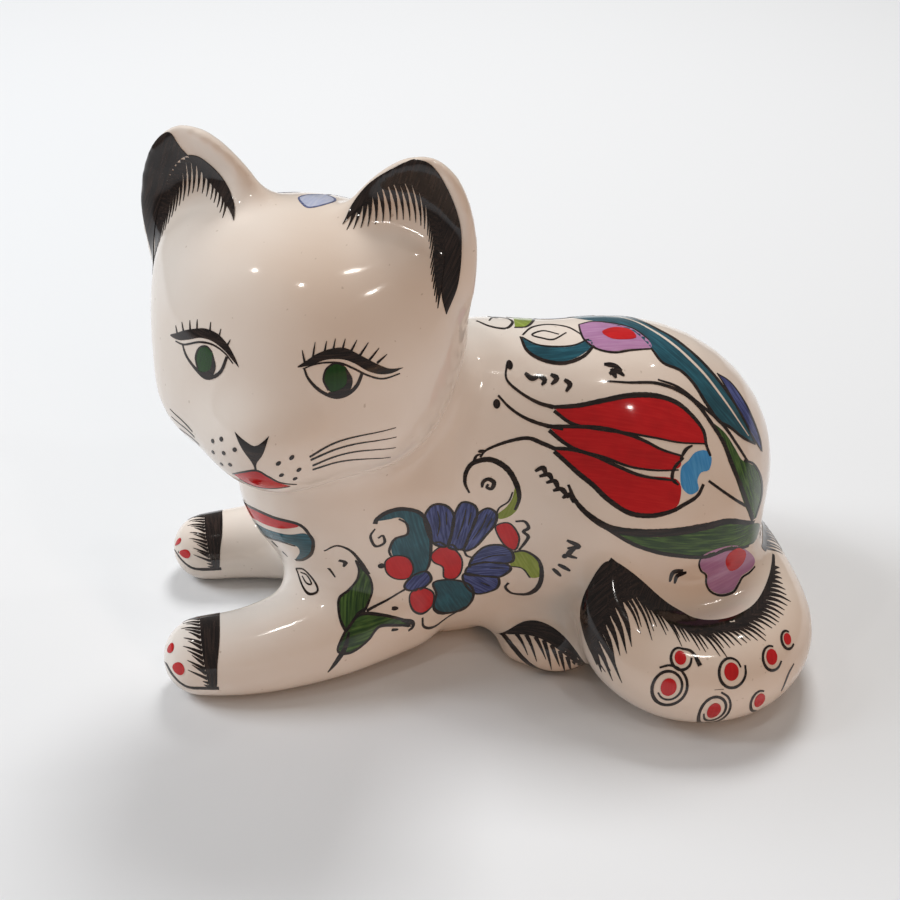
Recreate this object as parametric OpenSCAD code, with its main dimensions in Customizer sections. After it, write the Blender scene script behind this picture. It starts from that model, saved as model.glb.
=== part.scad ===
// Ceramic cat figurine: a lying cat, slip-cast in hollow and solid sections that are luted together.
// Millimetres. +Z is up and z = 0 is the surface that the cat lies on. The cat points along -X, and its
// face turns towards -Y, the side it is shown from. The origin is the mouth of the vent hole in the base.

/* [Torso] */
// Length from the chest to the back of the rump
body_l = 138; // [115:1:166]
// Width across the haunches
body_w = 78; // [65:1:94]
// Height of the back above the table
body_h = 86; // [72:1:104]
// Width across the chest
chest_w = 60; // [50:1:72]

/* [Head] */
// Width across the cheeks
head_w = 76; // [63:1:92]
// Height from chin to crown
head_h = 62; // [52:1:75]
// Depth from face to the back of the head
head_d = 66; // [55:1:80]
// Rise of the middle of the head above the top of the neck
neck_rise = 16; // [13:0.5:19]
// Turn of the face from straight ahead towards the left side
head_turn = 67; // [40:1:80]
// Height of an ear above the crown line
ear_h = 32; // [26:1:39]
// Width of an ear at its root
ear_w = 38; // [31:1:46]
// Thickness of an ear at its rim
ear_rim = 5; // [4:0.25:6]
// Depth of the dish in the front of an ear
ear_cup = 6.5; // [5:0.5:8]

/* [Legs and tail] */
// Radius of a forepaw
paw_r = 10; // [8:0.5:12]
// Reach of the forepaws in front of the chest
reach = 27; // [22:1:33]
// Spacing of the forepaws
paw_gap = 47; // [39:1:57]
// Length of a hind foot
foot_l = 31; // [25:1:38]
// Radius of the tail
tail_r = 13.5; // [11:0.5:16.5]

/* [Casting] */
// Wall of the hollow torso and head
wall = 4; // [3:0.25:5]
// Radius of the vent through the floor of the torso
vent_r = 6; // [4:0.25:8]
// Radius of the collar that joins torso and head
collar_r = 15; // [12:0.25:18]
// Rise of the collar above the top of the neck
collar_h = 5; // [4:0.5:8]
// Slip-joint clearance round the collar
slip = 0.2; // [0.1:0.05:0.4]

/* [Hidden] */
glaze = "seashell";

sides = 48;        // points round a section's skin
limb_sides = 32;   // points round a leg, ear or tail
steps = 12;        // halvings when a skin point is found
table = 400;       // size of the block that trims what reaches below the table

// ---------- forms made of blended ellipsoids ----------

// A blob is [centre, radii, turn about z, lean about its own x]
function turned(v, a) = [v[0] * cos(a) + v[1] * sin(a), v[1] * cos(a) - v[0] * sin(a), v[2]];
function leaned(v, a) = [v[0], v[1] * cos(a) + v[2] * sin(a), v[2] * cos(a) - v[1] * sin(a)];

// Distance from a blob's surface, nearly: negative inside
function level(p, b) =
    let (v = leaned(turned(p - b[0], b[2]), b[3]),
         q = [for (i = [0:2]) v[i] / b[1][i]],
         near = norm(q),
         slope = norm([for (i = [0:2]) q[i] / b[1][i]]))
    slope < 1e-9 ? -min(b[1]) : near * (near - 1) / slope;

// Distance from the blobs' common surface, with fillets of about the size soft between them
function blended(p, blobs, soft) =
    let (e = [for (b = blobs) exp(-level(p, b) / soft)])
    -soft * ln(e * [for (b = blobs) 1]);

// How far from c, along n, the blended surface lies, moved in by inset
function skin_at(c, n, blobs, soft, inset, lo = 0, hi = 140, i = steps) =
    let (m = (lo + hi) / 2)
    i == 0 ? m :
    blended(c + m * n, blobs, soft) + inset > 0 ? skin_at(c, n, blobs, soft, inset, lo, m, i - 1) :
                                                   skin_at(c, n, blobs, soft, inset, m, hi, i - 1);

// Faces of a closed skin: rings of points, then a point at each end
function skin_faces(rings, n) = let (last = rings * n) concat(
    [for (i = [0:rings - 2], j = [0:n - 1]) let (k = (j + 1) % n)
        each [[i * n + j, i * n + k, (i + 1) * n + k], [i * n + j, (i + 1) * n + k, (i + 1) * n + j]]],
    [for (j = [0:n - 1]) let (k = (j + 1) % n, far = (rings - 1) * n)
        each [[last, k, j], [last + 1, far + j, far + k]]]);

// Skin of blended blobs round a spine from a to b, both on one line along axis
module skin(a, b, axis, blobs, soft, inset = 0, caps = 9, run = 12) {
    side = cross(axis, [0, 0, 1]) / norm(cross(axis, [0, 0, 1]));
    rise = cross(side, axis);
    stops = concat([for (i = [1:caps]) [a, -90 + 90 * i / caps]],
                   [for (i = [1:run - 1]) [a + (b - a) * i / run, 0]],
                   [for (i = [0:caps - 1]) [b, 90 * i / caps]]);
    ring_points = [for (s = stops, j = [0:sides - 1])
        let (t = 360 * j / sides, n = axis * sin(s[1]) + (side * cos(t) + rise * sin(t)) * cos(s[1]))
        s[0] + n * skin_at(s[0], n, blobs, soft, inset)];
    ends = [a - axis * skin_at(a, -axis, blobs, soft, inset), b + axis * skin_at(b, axis, blobs, soft, inset)];
    polyhedron(concat(ring_points, ends), skin_faces(len(stops), sides));
}

// ---------- swept forms ----------

// Point at t along a smooth curve through the stations
function curve(s, t) =
    let (n = len(s) - 1, i = min(floor(t * n), n - 1), u = t * n - i,
         p0 = s[max(i - 1, 0)], p1 = s[i], p2 = s[i + 1], p3 = s[min(i + 2, n)])
    0.5 * (2 * p1 + (p2 - p0) * u + (2 * p0 - 5 * p1 + 4 * p2 - p3) * u * u
           + (3 * p1 - p0 - 3 * p2 + p3) * u * u * u);

function place(s, t) = let (q = curve(s, t)) [q[0], q[1], q[2]];
function along(s, t) = let (d = place(s, min(t + 0.01, 1)) - place(s, max(t - 0.01, 0))) d / norm(d);
function round_ring(c, d, r) =
    let (e = cross(d, [0, 0, 1]) / norm(cross(d, [0, 0, 1])), f = cross(e, d))
    [for (j = [0:limb_sides - 1]) let (w = 360 * j / limb_sides) c + r * (e * cos(w) + f * sin(w))];

// Round limb through stations [x, y, z, radius], with ends rounded by their own radius
module limb(s, rings, caps = 6) {
    r0 = s[0][3];
    r1 = s[len(s) - 1][3];
    body = [for (i = [0:rings]) let (t = i / rings) round_ring(place(s, t), along(s, t), curve(s, t)[3])];
    front = [for (i = [1:caps - 1]) let (w = 90 * i / caps)
        round_ring(place(s, 0) - along(s, 0) * r0 * cos(w), along(s, 0), r0 * sin(w))];
    back = [for (i = [1:caps - 1]) let (w = 90 * i / caps)
        round_ring(place(s, 1) + along(s, 1) * r1 * sin(w), along(s, 1), r1 * cos(w))];
    all_rings = concat(front, body, back);
    ends = [place(s, 0) - along(s, 0) * r0, place(s, 1) + along(s, 1) * r1];
    polyhedron(concat([for (r = all_rings) each r], ends), skin_faces(len(all_rings), limb_sides));
}

// What lies below height z
module below(z = 0) translate([-table / 2, -table / 2, z - table]) cube(table);

// ---------- places ----------

chest_x = -0.43 * body_l;           // front of the chest
rump_x = chest_x + body_l;          // back of the rump
hip_x = rump_x - 0.33 * body_l;     // middle of the hips
shoulder_x = chest_x + 0.19 * body_l;
spine_z = 0.46 * body_h;
neck_top = 0.9 * body_h;            // top of the domed neck under the head
collar_top = neck_top + collar_h;
neck = [shoulder_x - 6, -8, neck_top - 0.3 * body_h];
head_at = [shoulder_x - 13, -12, neck_top + neck_rise];
flank_y = 0.49 * body_w;            // side of the haunch, where the tail lies

// ---------- torso ----------

torso_blobs = [
    [[hip_x, 0, 0.48 * body_h], [0.34 * body_l, 0.44 * body_w, 0.5 * body_h], 0, 0],
    [[hip_x + 6, -0.27 * body_w, 0.38 * body_h], [0.23 * body_l, 0.25 * body_w, 0.37 * body_h], 0, 0],
    [[hip_x + 6, 0.27 * body_w, 0.36 * body_h], [0.23 * body_l, 0.23 * body_w, 0.35 * body_h], 0, 0],
    [[shoulder_x + 5, -2, 0.42 * body_h], [0.2 * body_l, 0.47 * chest_w, 0.46 * body_h], 0, 0],
    [[shoulder_x + 25, -1, 0.37 * body_h], [0.26 * body_l, 0.45 * chest_w, 0.43 * body_h], 0, 0],
    [[shoulder_x + 32, 3, 0.66 * body_h], [0.24 * body_l, 0.42 * chest_w, 0.32 * body_h], 0, 0],
    [neck, [0.42 * chest_w, 0.4 * chest_w, 0.3 * body_h], 0, 0]];
torso_soft = 3.5;
torso_a = [shoulder_x, -2, spine_z];
torso_b = [hip_x, -2, spine_z];

module torso_form(inset = 0)
    skin(torso_a, torso_b, [1, 0, 0], torso_blobs, torso_soft, inset, 9, 12);

// Hollow body, open at the neck inside a round collar, with a flat floor and a vent through it
module torso() color(glaze) difference() {
    union() {
        torso_form();
        translate([neck[0], neck[1], neck[2]])
            cylinder(r = collar_r, h = collar_top - neck[2], $fn = 64);
    }
    difference() {
        torso_form(wall);
        below(wall);
    }
    translate([neck[0], neck[1], neck[2]]) cylinder(r = collar_r - wall, h = body_h, $fn = 64);
    translate([0, 0, -wall]) cylinder(r = vent_r, h = 3 * wall, $fn = 64);
    below();
}

// ---------- head ----------

// The head is drawn looking along -X from its own middle, then turned and set in place
module as_head() translate(head_at) rotate([0, 0, head_turn]) children();

head_blobs = [
    [[2, 0, 1], [head_d / 2, head_w / 2, 0.49 * head_h], 0, 0],
    [[-0.31 * head_d, 0, -0.22 * head_h], [0.25 * head_d, 0.24 * head_w, 0.21 * head_h], 0, 0],
    [[-6, -0.22 * head_w, -0.2 * head_h], [0.31 * head_d, 0.23 * head_w, 0.25 * head_h], 0, 0],
    [[-6, 0.22 * head_w, -0.2 * head_h], [0.31 * head_d, 0.23 * head_w, 0.25 * head_h], 0, 0],
    [[-0.46 * head_d, 0, -0.15 * head_h], [0.1 * head_d, 0.1 * head_w, 0.09 * head_h], 0, 0],
    [[-0.3 * head_d, 0, -0.31 * head_h], [0.19 * head_d, 0.17 * head_w, 0.17 * head_h], 0, 0],
    [[1, -0.28 * head_w, 0.22 * head_h], [0.2 * head_d, 0.2 * head_w, 0.23 * head_h], 0, 0],
    [[1, 0.28 * head_w, 0.22 * head_h], [0.2 * head_d, 0.2 * head_w, 0.23 * head_h], 0, 0]];
head_soft = 3;

module head_form(inset = 0) skin([-8, 0, -1], [8, 0, -1], [1, 0, 0], head_blobs, head_soft, inset, 11, 5);

// Hollow head with a thick floor, bored to drop over the neck collar
module head() color(glaze) difference() {
    as_head() head_form();
    difference() {
        as_head() head_form(wall);
        below(collar_top);
    }
    translate([neck[0], neck[1], neck[2]])
        cylinder(r = collar_r + slip, h = collar_top + wall - neck[2], $fn = 64);
    torso_form();
}

// ---------- ears ----------

// Cupped ear with a thick rounded rim; side is -1 for the left ear and 1 for the right
module ear_form(side, rings = 12) {
    splay = side > 0 ? 0.03 : 0;     // the right ear stands a little wider
    root = [4, side * (0.26 + splay) * head_w, 0.17 * head_h];
    tip = [2, side * (0.39 + splay) * head_w, 0.24 * head_h + ear_h];
    up = (tip - root) / norm(tip - root);
    wide = cross(up, [-1, 0, 0]) / norm(cross(up, [-1, 0, 0]));
    front = cross(wide, up);
    points = [for (i = [0:rings], j = [0:limb_sides - 1])
        let (t = 0.985 * i / rings, a = 360 * j / limb_sides, s = pow(1 - pow(t, 2.1), 0.6),
             dish = s * ear_cup * sin(a) * sin(a), rim = min(1, 2.6 * s) * ear_rim / 2,
             edge = min(1, max(0, abs(cos(a)) - 0.85) / 0.15),
             face = sin(a) < -0.001 ? -1 : sin(a) > 0.001 ? 1 : 0)
        root + (tip - root) * t + wide * s * ear_w / 2 * cos(a)
            + front * (rim * face * sqrt(1 - edge * edge) - dish)];
    polyhedron(concat(points, [root - front * ear_cup, tip]), skin_faces(rings + 1, limb_sides));
}

module ear(side) color(glaze) difference() {
    as_head() ear_form(side);
    as_head() head_form();
}

// ---------- legs and tail ----------

// Foreleg laid along the table from the chest; side is -1 for the left and 1 for the right
module foreleg_form(side) {
    toe_x = chest_x - reach + paw_r + (side > 0 ? 2.5 : 1);
    y = side * paw_gap / 2 - (side > 0 ? 0 : 1.5);
    r = paw_r - (side > 0 ? 0.5 : -0.3);
    limb([[toe_x, y - 4.5, r - 1, r],
          [toe_x + 14, y - 4.5, r, 1.12 * r],
          [toe_x + 32, 0.84 * y - 4, 1.25 * r, 1.35 * r],
          [toe_x + 50, 0.55 * y - 3, 1.6 * r, 1.6 * r]], 18);
}

module foreleg(side) color(glaze) difference() {
    foreleg_form(side);
    torso_form();
    below();
}

// Hind foot tucked under the haunch, toes turned in, clear of the tail
module hind_foot_form(side) {
    toe_x = hip_x - 0.176 * body_l;
    y = side * 0.35 * body_w;
    limb([[toe_x, y, 6, 6.5],
          [toe_x + 0.27 * foot_l, 1.12 * y, 7.5, 8.8],
          [toe_x + foot_l - 15, y, 9.5, 9.5]], 10);
}

module hind_foot(side) color(glaze) difference() {
    hind_foot_form(side);
    torso_form();
    below();
}

// Tail from behind the rump, round along the left haunch, with its tip turned up on the haunch
module tail_form() {
    run = 0.38 * body_l;            // how far the tail comes forward along the flank
    function at(back, side, rise, thick) =
        [rump_x - back * run, -flank_y - side * tail_r, tail_r + rise, thick * tail_r];
    limb([at(0.42, -4, 4, 0.8), at(0.17, -3.1, 1, 0.92), at(0.12, -1.75, -0.5, 1),
          at(0.16, -0.02, -0.7, 1.03), at(0.37, 0.88, -0.7, 1.04), at(0.65, 0.95, -0.2, 1.02),
          at(0.86, 0.62, 4, 0.93), at(0.965, 0.33, 11.5, 0.72), at(0.99, 0.1, 19, 0.46),
          at(0.975, -0.06, 25, 0.18)], 44);
}

module tail() color(glaze) difference() {
    tail_form();
    torso_form();
    below();
}

torso();
head();
ear(-1);  // ear_left
ear(1);  // ear_right
foreleg(-1);  // foreleg_left
foreleg(1);  // foreleg_right
hind_foot(-1);  // hind_foot_left
hind_foot(1);  // hind_foot_right
tail();
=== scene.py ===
"""A small glazed ceramic cat, cast in sections, luted together, painted with flowers and glazed."""
import math
import random

import bpy
import numpy as np
from mathutils import Matrix, Vector
from mathutils.bvhtree import BVHTree
from mathutils.geometry import delaunay_2d_cdt
from mathutils.interpolate import poly_3d_calc


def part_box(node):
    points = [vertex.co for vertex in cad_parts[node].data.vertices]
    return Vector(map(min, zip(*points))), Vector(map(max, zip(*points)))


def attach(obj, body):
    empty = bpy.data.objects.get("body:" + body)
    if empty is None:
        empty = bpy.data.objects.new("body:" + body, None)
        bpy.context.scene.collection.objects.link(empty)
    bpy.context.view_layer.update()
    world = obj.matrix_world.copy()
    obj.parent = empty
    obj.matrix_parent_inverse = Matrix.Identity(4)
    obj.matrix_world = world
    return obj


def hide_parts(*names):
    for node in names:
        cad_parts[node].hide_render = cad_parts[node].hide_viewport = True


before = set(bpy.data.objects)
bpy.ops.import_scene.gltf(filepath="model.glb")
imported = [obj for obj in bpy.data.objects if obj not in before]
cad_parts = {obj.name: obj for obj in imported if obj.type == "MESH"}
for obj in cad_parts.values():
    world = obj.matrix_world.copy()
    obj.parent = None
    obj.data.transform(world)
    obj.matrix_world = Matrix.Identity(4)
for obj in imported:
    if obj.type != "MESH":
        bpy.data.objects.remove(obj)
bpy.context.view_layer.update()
bpy.ops.object.select_all(action="DESELECT")

# ---------------------------------------------------------------------------
# Camera, table and lights.
# The cat stands on a plain pale table. A cool soft window lights it from the left, a low warm
# lamp from its right front and a sky light from above and behind, and small ceiling lamps
# make the sparkles in the glaze.
# ---------------------------------------------------------------------------
VIEW_AROUND, VIEW_ABOVE, VIEW_TILT = math.radians(-9.7), math.radians(32.6), math.radians(2.4)
VIEW_AWAY = 0.407
LENS, SENSOR = 60.6, 36
VIEW_CENTRE = Vector((-0.0075, 0.0042, 0.0466))


def eye_way(around, above):
    """The way back to an eye this far round and above the cat, and the way to its right."""
    level = math.cos(above)
    back = Vector((math.sin(around) * level, -math.cos(around) * level, math.sin(above)))
    return back, Vector((math.cos(around), math.sin(around), 0))


def look_matrix(centre, around, above, tilt, away):
    """Where a camera stands that looks at centre from this far round, above and away."""
    back, side = eye_way(around, above)
    up = back.cross(side)
    right = math.cos(tilt) * side + math.sin(tilt) * up
    over = -math.sin(tilt) * side + math.cos(tilt) * up
    turn = Matrix((right, over, back)).transposed().to_4x4()
    return Matrix.Translation(centre + back * away) @ turn


camera_data = bpy.data.cameras.new("camera")
camera_data.lens = LENS
camera_data.sensor_width = SENSOR
camera_data.clip_start = 0.01
camera = bpy.data.objects.new("camera", camera_data)
bpy.context.collection.objects.link(camera)
camera.matrix_world = look_matrix(VIEW_CENTRE, VIEW_AROUND, VIEW_ABOVE, VIEW_TILT, VIEW_AWAY)
bpy.context.scene.camera = camera
bpy.context.scene.view_settings.view_transform = "Standard"

bpy.ops.mesh.primitive_plane_add(size=20)
table = bpy.context.object
table.name = "table"
table_top = bpy.data.materials.new("pale table")
table_top.use_nodes = True
table_shader = table_top.node_tree.nodes["Principled BSDF"]
table_shader.inputs["Base Color"].default_value = (0.79, 0.81, 0.83, 1)
table_shader.inputs["Roughness"].default_value = 0.6
table.data.materials.append(table_top)

world = bpy.data.worlds.new("room")
bpy.context.scene.world = world
world.use_nodes = True
room, room_nodes = world.node_tree, world.node_tree.nodes
room_light = room_nodes["Background"]
room_light.inputs["Color"].default_value = (1.0, 0.94, 0.88, 1)
room_light.inputs["Strength"].default_value = 0.21
backdrop = room_nodes.new("ShaderNodeBackground")          # the pale wall, as the eye sees it
backdrop.inputs["Color"].default_value = (0.80, 0.82, 0.85, 1)
seen = room_nodes.new("ShaderNodeMixShader")
room.links.new(room_nodes.new("ShaderNodeLightPath").outputs["Is Camera Ray"], seen.inputs["Fac"])
room.links.new(room_light.outputs[0], seen.inputs[1])
room.links.new(backdrop.outputs[0], seen.inputs[2])
room.links.new(seen.outputs[0], room_nodes["World Output"].inputs["Surface"])


def lamp(name, place, aim, size, power, colour, mirrored=True):
    """A square soft box at place, aimed at a point, size across; it may show in the glaze or not."""
    light = bpy.data.lights.new(name, "AREA")
    light.size = size
    light.energy = power
    light.color = colour
    thing = bpy.data.objects.new(name, light)
    thing.location = place
    thing.rotation_euler = (Vector(aim) - Vector(place)).to_track_quat("-Z", "Y").to_euler()
    thing.visible_glossy = mirrored
    bpy.context.collection.objects.link(thing)


CAT_MIDDLE = (0, 0, 0.05)
lamp("window", (-1.1, 0.3, 0.9), CAT_MIDDLE, 0.6, 11.0, (0.93, 0.96, 1.0), False)
lamp("fill", (0.7, -1.6, 0.28), CAT_MIDDLE, 0.4, 5.5, (1.0, 0.50, 0.22), False)
lamp("sky", (0.2, 0.7, 1.1), CAT_MIDDLE, 0.4, 9.5, (1.0, 0.99, 0.98), False)
for at in ((-0.25, -0.35, 1.0), (0.12, -0.2, 1.1), (0.3, -0.55, 0.95), (-0.5, 0.0, 0.8), (0.5, 0.1, 0.9)):
    lamp("ceiling_lamp", at, CAT_MIDDLE, 0.035, 0.3, (1.0, 0.97, 0.92))

# ---------------------------------------------------------------------------
# The nine cast sections: torso, head, ears, forelegs, hind feet and tail.
# The seams were filled with slip and sponged smooth before firing, so the whole skin is
# closed over, rounded in the hollows, pierced by the vent, and cut again along the seams.
# ---------------------------------------------------------------------------
MM = 0.001
SECTIONS = ["torso", "head", "ear_left", "ear_right", "foreleg_left", "foreleg_right",
            "hind_foot_left", "hind_foot_right", "tail"]
SKIN_GRAIN = 0.9 * MM
FILLET = 4.5 * MM
VENT_RADIUS = 6 * MM
VENT_DEPTH = 9 * MM
SEAM_REACH = 8 * MM                      # how far from a section's box its skin may lie


def use(thing):
    """Makes this object the one that operators act on."""
    bpy.ops.object.select_all(action="DESELECT")
    thing.select_set(True)
    bpy.context.view_layer.objects.active = thing


def apply_modifier(thing, kind, **settings):
    use(thing)
    modifier = thing.modifiers.new(kind.lower(), kind)
    for key, value in settings.items():
        setattr(modifier, key, value)
    bpy.ops.object.modifier_apply(modifier=modifier.name)


def short_cylinder(radius, low, high):
    """An upright cylinder on the vent's axis."""
    bpy.ops.object.select_all(action="DESELECT")
    bpy.ops.mesh.primitive_cylinder_add(radius=radius, depth=high - low, location=(0, 0, (low + high) / 2))
    bpy.ops.object.transform_apply()
    return bpy.context.object


castings = [short_cylinder(1.5 * VENT_RADIUS, 0, 4 * MM)]     # closes the vent while the skin is made
for name in SECTIONS:
    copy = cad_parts[name].copy()
    copy.data = copy.data.copy()
    copy.parent = None
    bpy.context.collection.objects.link(copy)
    castings.append(copy)
bpy.ops.object.select_all(action="DESELECT")
for part in castings:
    part.select_set(True)
bpy.context.view_layer.objects.active = castings[0]
bpy.ops.object.join()
skin = bpy.context.object
skin.name = "skin"
skin.data.materials.clear()
bpy.ops.object.mode_set(mode="EDIT")
bpy.ops.mesh.select_all(action="SELECT")
bpy.ops.mesh.remove_doubles(threshold=0.01 * MM)
bpy.ops.object.mode_set(mode="OBJECT")
apply_modifier(skin, "REMESH", mode="VOXEL", voxel_size=SKIN_GRAIN)
apply_modifier(skin, "DISPLACE", strength=FILLET, mid_level=0)
apply_modifier(skin, "REMESH", mode="VOXEL", voxel_size=SKIN_GRAIN)
apply_modifier(skin, "SMOOTH", factor=0.5, iterations=5)
apply_modifier(skin, "DISPLACE", strength=-FILLET, mid_level=0)
apply_modifier(skin, "SMOOTH", factor=0.5, iterations=8)
drill = short_cylinder(VENT_RADIUS, -5 * MM, VENT_DEPTH)
apply_modifier(skin, "BOOLEAN", operation="DIFFERENCE", object=drill, solver="FAST")
bpy.data.objects.remove(drill)
apply_modifier(skin, "REMESH", mode="VOXEL", voxel_size=SKIN_GRAIN)
apply_modifier(skin, "SMOOTH", factor=0.5, iterations=14)
for vertex in skin.data.vertices:
    vertex.co.z = max(vertex.co.z, 0)
skin.data.update()

skin_points = [v.co.copy() for v in skin.data.vertices]
skin_normals = [v.normal.copy() for v in skin.data.vertices]
skin_faces = [tuple(p.vertices) for p in skin.data.polygons]
skin_tree = BVHTree.FromPolygons(skin_points, skin_faces)
section_trees = []
for name in SECTIONS:
    node_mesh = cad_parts[name].data
    faces = [tuple(p.vertices) for p in node_mesh.polygons]
    tree = BVHTree.FromPolygons([v.co for v in node_mesh.vertices], faces)
    section_trees.append((tree, *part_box(name)))


def nearest_section(point):
    """The number of the casting whose wall lies nearest to this place on the skin."""
    best, found = 1.0, 0
    for number, (tree, low, high) in enumerate(section_trees):
        if all(low[i] - SEAM_REACH < point[i] < high[i] + SEAM_REACH for i in range(3)):
            away = tree.find_nearest(point)[3]
            if away < best - 1e-5:
                best, found = away, number
    return found


def most_common(numbers):
    return max(set(numbers), key=numbers.count)


def tidy_seams(owner, neighbours):
    """Gives stray islands of a section to the section around them."""
    seen = [False] * len(owner)
    groups = []
    for first in range(len(owner)):
        if seen[first]:
            continue
        seen[first] = True
        group = [first]
        for face in group:
            for other in neighbours[face]:
                if not seen[other] and owner[other] == owner[first]:
                    seen[other] = True
                    group.append(other)
        groups.append(group)
    largest = {}
    for group in groups:
        if len(group) > len(largest.get(owner[group[0]], [])):
            largest[owner[group[0]]] = group
    for group in sorted(groups, key=len):
        if largest[owner[group[0]]] is not group:
            around = [owner[other] for face in group for other in neighbours[face]
                      if owner[other] != owner[face]]
            for face in group:
                owner[face] = most_common(around)


owner = [nearest_section(sum((skin_points[i] for i in face), Vector()) / len(face)) for face in skin_faces]
edge_faces = {}
for number, face in enumerate(skin_faces):
    for a, b in zip(face, face[1:] + face[:1]):
        edge_faces.setdefault((min(a, b), max(a, b)), []).append(number)
neighbours = [[] for _ in skin_faces]
for pair in edge_faces.values():
    if len(pair) == 2:
        neighbours[pair[0]].append(pair[1])
        neighbours[pair[1]].append(pair[0])
for _ in range(3):                       # evens out the ragged line of each seam
    near = [[owner[other] for other in others] + [own] for own, others in zip(owner, neighbours)]
    owner = [most_common(group) if group.count(most_common(group)) >= 3 else own
             for own, group in zip(owner, near)]
tidy_seams(owner, neighbours)


def seam_rings(edges):
    """Groups the open edges of a section into its rings."""
    beside = {}
    for a, b in edges:
        beside.setdefault(a, []).append((a, b))
        beside.setdefault(b, []).append((a, b))
    rings, seen = [], set()
    for start in edges:
        if start in seen:
            continue
        seen.add(start)
        ring = [start]
        for a, b in ring:
            for other in beside[a] + beside[b]:
                if other not in seen:
                    seen.add(other)
                    ring.append(other)
        rings.append(ring)
    return rings


def cut_section(number, name, material):
    """Cuts one section out of the skin and closes it inside with a cone to the middle of each seam."""
    faces = [face for face, own in zip(skin_faces, owner) if own == number]
    used = sorted({i for face in faces for i in face})
    place = {old: new for new, old in enumerate(used)}
    points = [skin_points[i] for i in used]
    normals = [skin_normals[i] for i in used]
    faces = [tuple(place[i] for i in face) for face in faces]
    ways = {(a, b) for face in faces for a, b in zip(face, face[1:] + face[:1])}
    for ring in seam_rings([(a, b) for a, b in sorted(ways) if (b, a) not in ways]):
        middle = sum((points[a] for a, b in ring), Vector()) / len(ring)
        inward = sum((normals[a] for a, b in ring), Vector()).normalized()
        faces += [(b, a, len(points)) for a, b in ring]
        points.append(middle)
        normals.append(-inward)
    mesh = bpy.data.meshes.new(name + "_glazed")
    mesh.from_pydata(points, [], faces)
    mesh.polygons.foreach_set("use_smooth", [True] * len(faces))
    mesh.normals_split_custom_set_from_vertices(normals)
    mesh.materials.append(material)
    piece = bpy.data.objects.new(name + "_glazed", mesh)
    bpy.context.collection.objects.link(piece)
    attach(piece, "root")
    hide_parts(name)


# A clear glossy glaze lies over the warm ivory earthenware. It pools a little darker and
# pinker in places, holds a few fine specks, and is wiped off the foot, which shows dry clay.
GLAZE_LIGHT = (0.82, 0.76, 0.70, 1)
GLAZE_DEEP = (0.71, 0.59, 0.49, 1)
SPECK = (0.42, 0.33, 0.25, 1)
BARE_CLAY = (0.70, 0.60, 0.48, 1)
GLOSS, DRY = 0.09, 0.85
FOOT_WIPED = 0.35 * MM                   # height up to which the glaze is wiped off


def new_material(name):
    """A material with its Principled shader, and short ways to add and join nodes."""
    material = bpy.data.materials.new(name)
    material.use_nodes = True
    tree = material.node_tree

    def add(kind, **settings):
        node = tree.nodes.new(kind)
        for key, value in settings.items():
            setattr(node, key, value)
        return node

    return material, tree.nodes["Principled BSDF"], add, tree.links.new


def noise(add, join, vector, scale, detail=2.0):
    node = add("ShaderNodeTexNoise")
    node.inputs["Scale"].default_value = scale
    node.inputs["Detail"].default_value = detail
    join(vector, node.inputs["Vector"])
    return node.outputs["Fac"]


def spread(add, join, value, low, high, bottom=0.0, top=1.0):
    """Stretches a value from low..high to bottom..top, and keeps it there."""
    node = add("ShaderNodeMapRange")
    for key, number in (("From Min", low), ("From Max", high), ("To Min", bottom), ("To Max", top)):
        node.inputs[key].default_value = number
    join(value, node.inputs["Value"])
    return node.outputs["Result"]


def mix_colour(add, join, share, first, second):
    """Mixes two colours; each is a colour or another node's output."""
    node = add("ShaderNodeMix", data_type="RGBA")
    join(share, node.inputs["Factor"])
    sockets = [s for s in node.inputs if s.type == "RGBA"]
    for socket, colour in zip(sockets, (first, second)):
        if isinstance(colour, tuple):
            socket.default_value = colour
        else:
            join(colour, socket)
    return [s for s in node.outputs if s.type == "RGBA"][0]


def clear_glaze(add, join, shader, place):
    """The clear glaze over everything: how it bends light, and the faint waves of its surface."""
    shader.inputs["IOR"].default_value = 1.52
    waves = add("ShaderNodeBump")
    waves.inputs["Distance"].default_value = 0.4 * MM
    waves.inputs["Strength"].default_value = 0.25
    join(noise(add, join, place, 70, 1), waves.inputs["Height"])
    join(waves.outputs["Normal"], shader.inputs["Normal"])


def glaze_material():
    material, shader, add, join = new_material("ivory glaze")
    place = add("ShaderNodeTexCoord").outputs["Object"]
    pools = spread(add, join, noise(add, join, place, 16, 3), 0.35, 0.7)
    colour = mix_colour(add, join, pools, GLAZE_LIGHT, GLAZE_DEEP)
    specks = spread(add, join, noise(add, join, place, 620, 1), 0.76, 0.80, 0.0, 0.5)
    colour = mix_colour(add, join, specks, colour, SPECK)
    height = add("ShaderNodeSeparateXYZ")
    join(place, height.inputs["Vector"])
    bare = spread(add, join, height.outputs["Z"], FOOT_WIPED, 0.5 * FOOT_WIPED)
    colour = mix_colour(add, join, bare, colour, BARE_CLAY)
    join(colour, shader.inputs["Base Color"])
    join(spread(add, join, bare, 0, 1, GLOSS, DRY), shader.inputs["Roughness"])
    clear_glaze(add, join, shader, place)
    return material


ivory_glaze = glaze_material()
for number, name in enumerate(SECTIONS):
    cut_section(number, name, ivory_glaze)
bpy.data.objects.remove(skin)

# ---------------------------------------------------------------------------
# The tulip on each flank.
# Three long red petals held in a sky blue calyx, on a stem that runs back between two long
# leaves. The petals end in curled black whiskers towards the shoulder.
# ---------------------------------------------------------------------------

# The flowers are brushed on by hand in underglaze colours. A chart lays flat drawing
# millimetres over one form of the body.
BODY_AXIS = Vector((0, -1, 38))
BODY_ROUND = 40
FORWARD = Vector((-1, 0, 0))
UPWARD = Vector((0, 0, 1))


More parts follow.
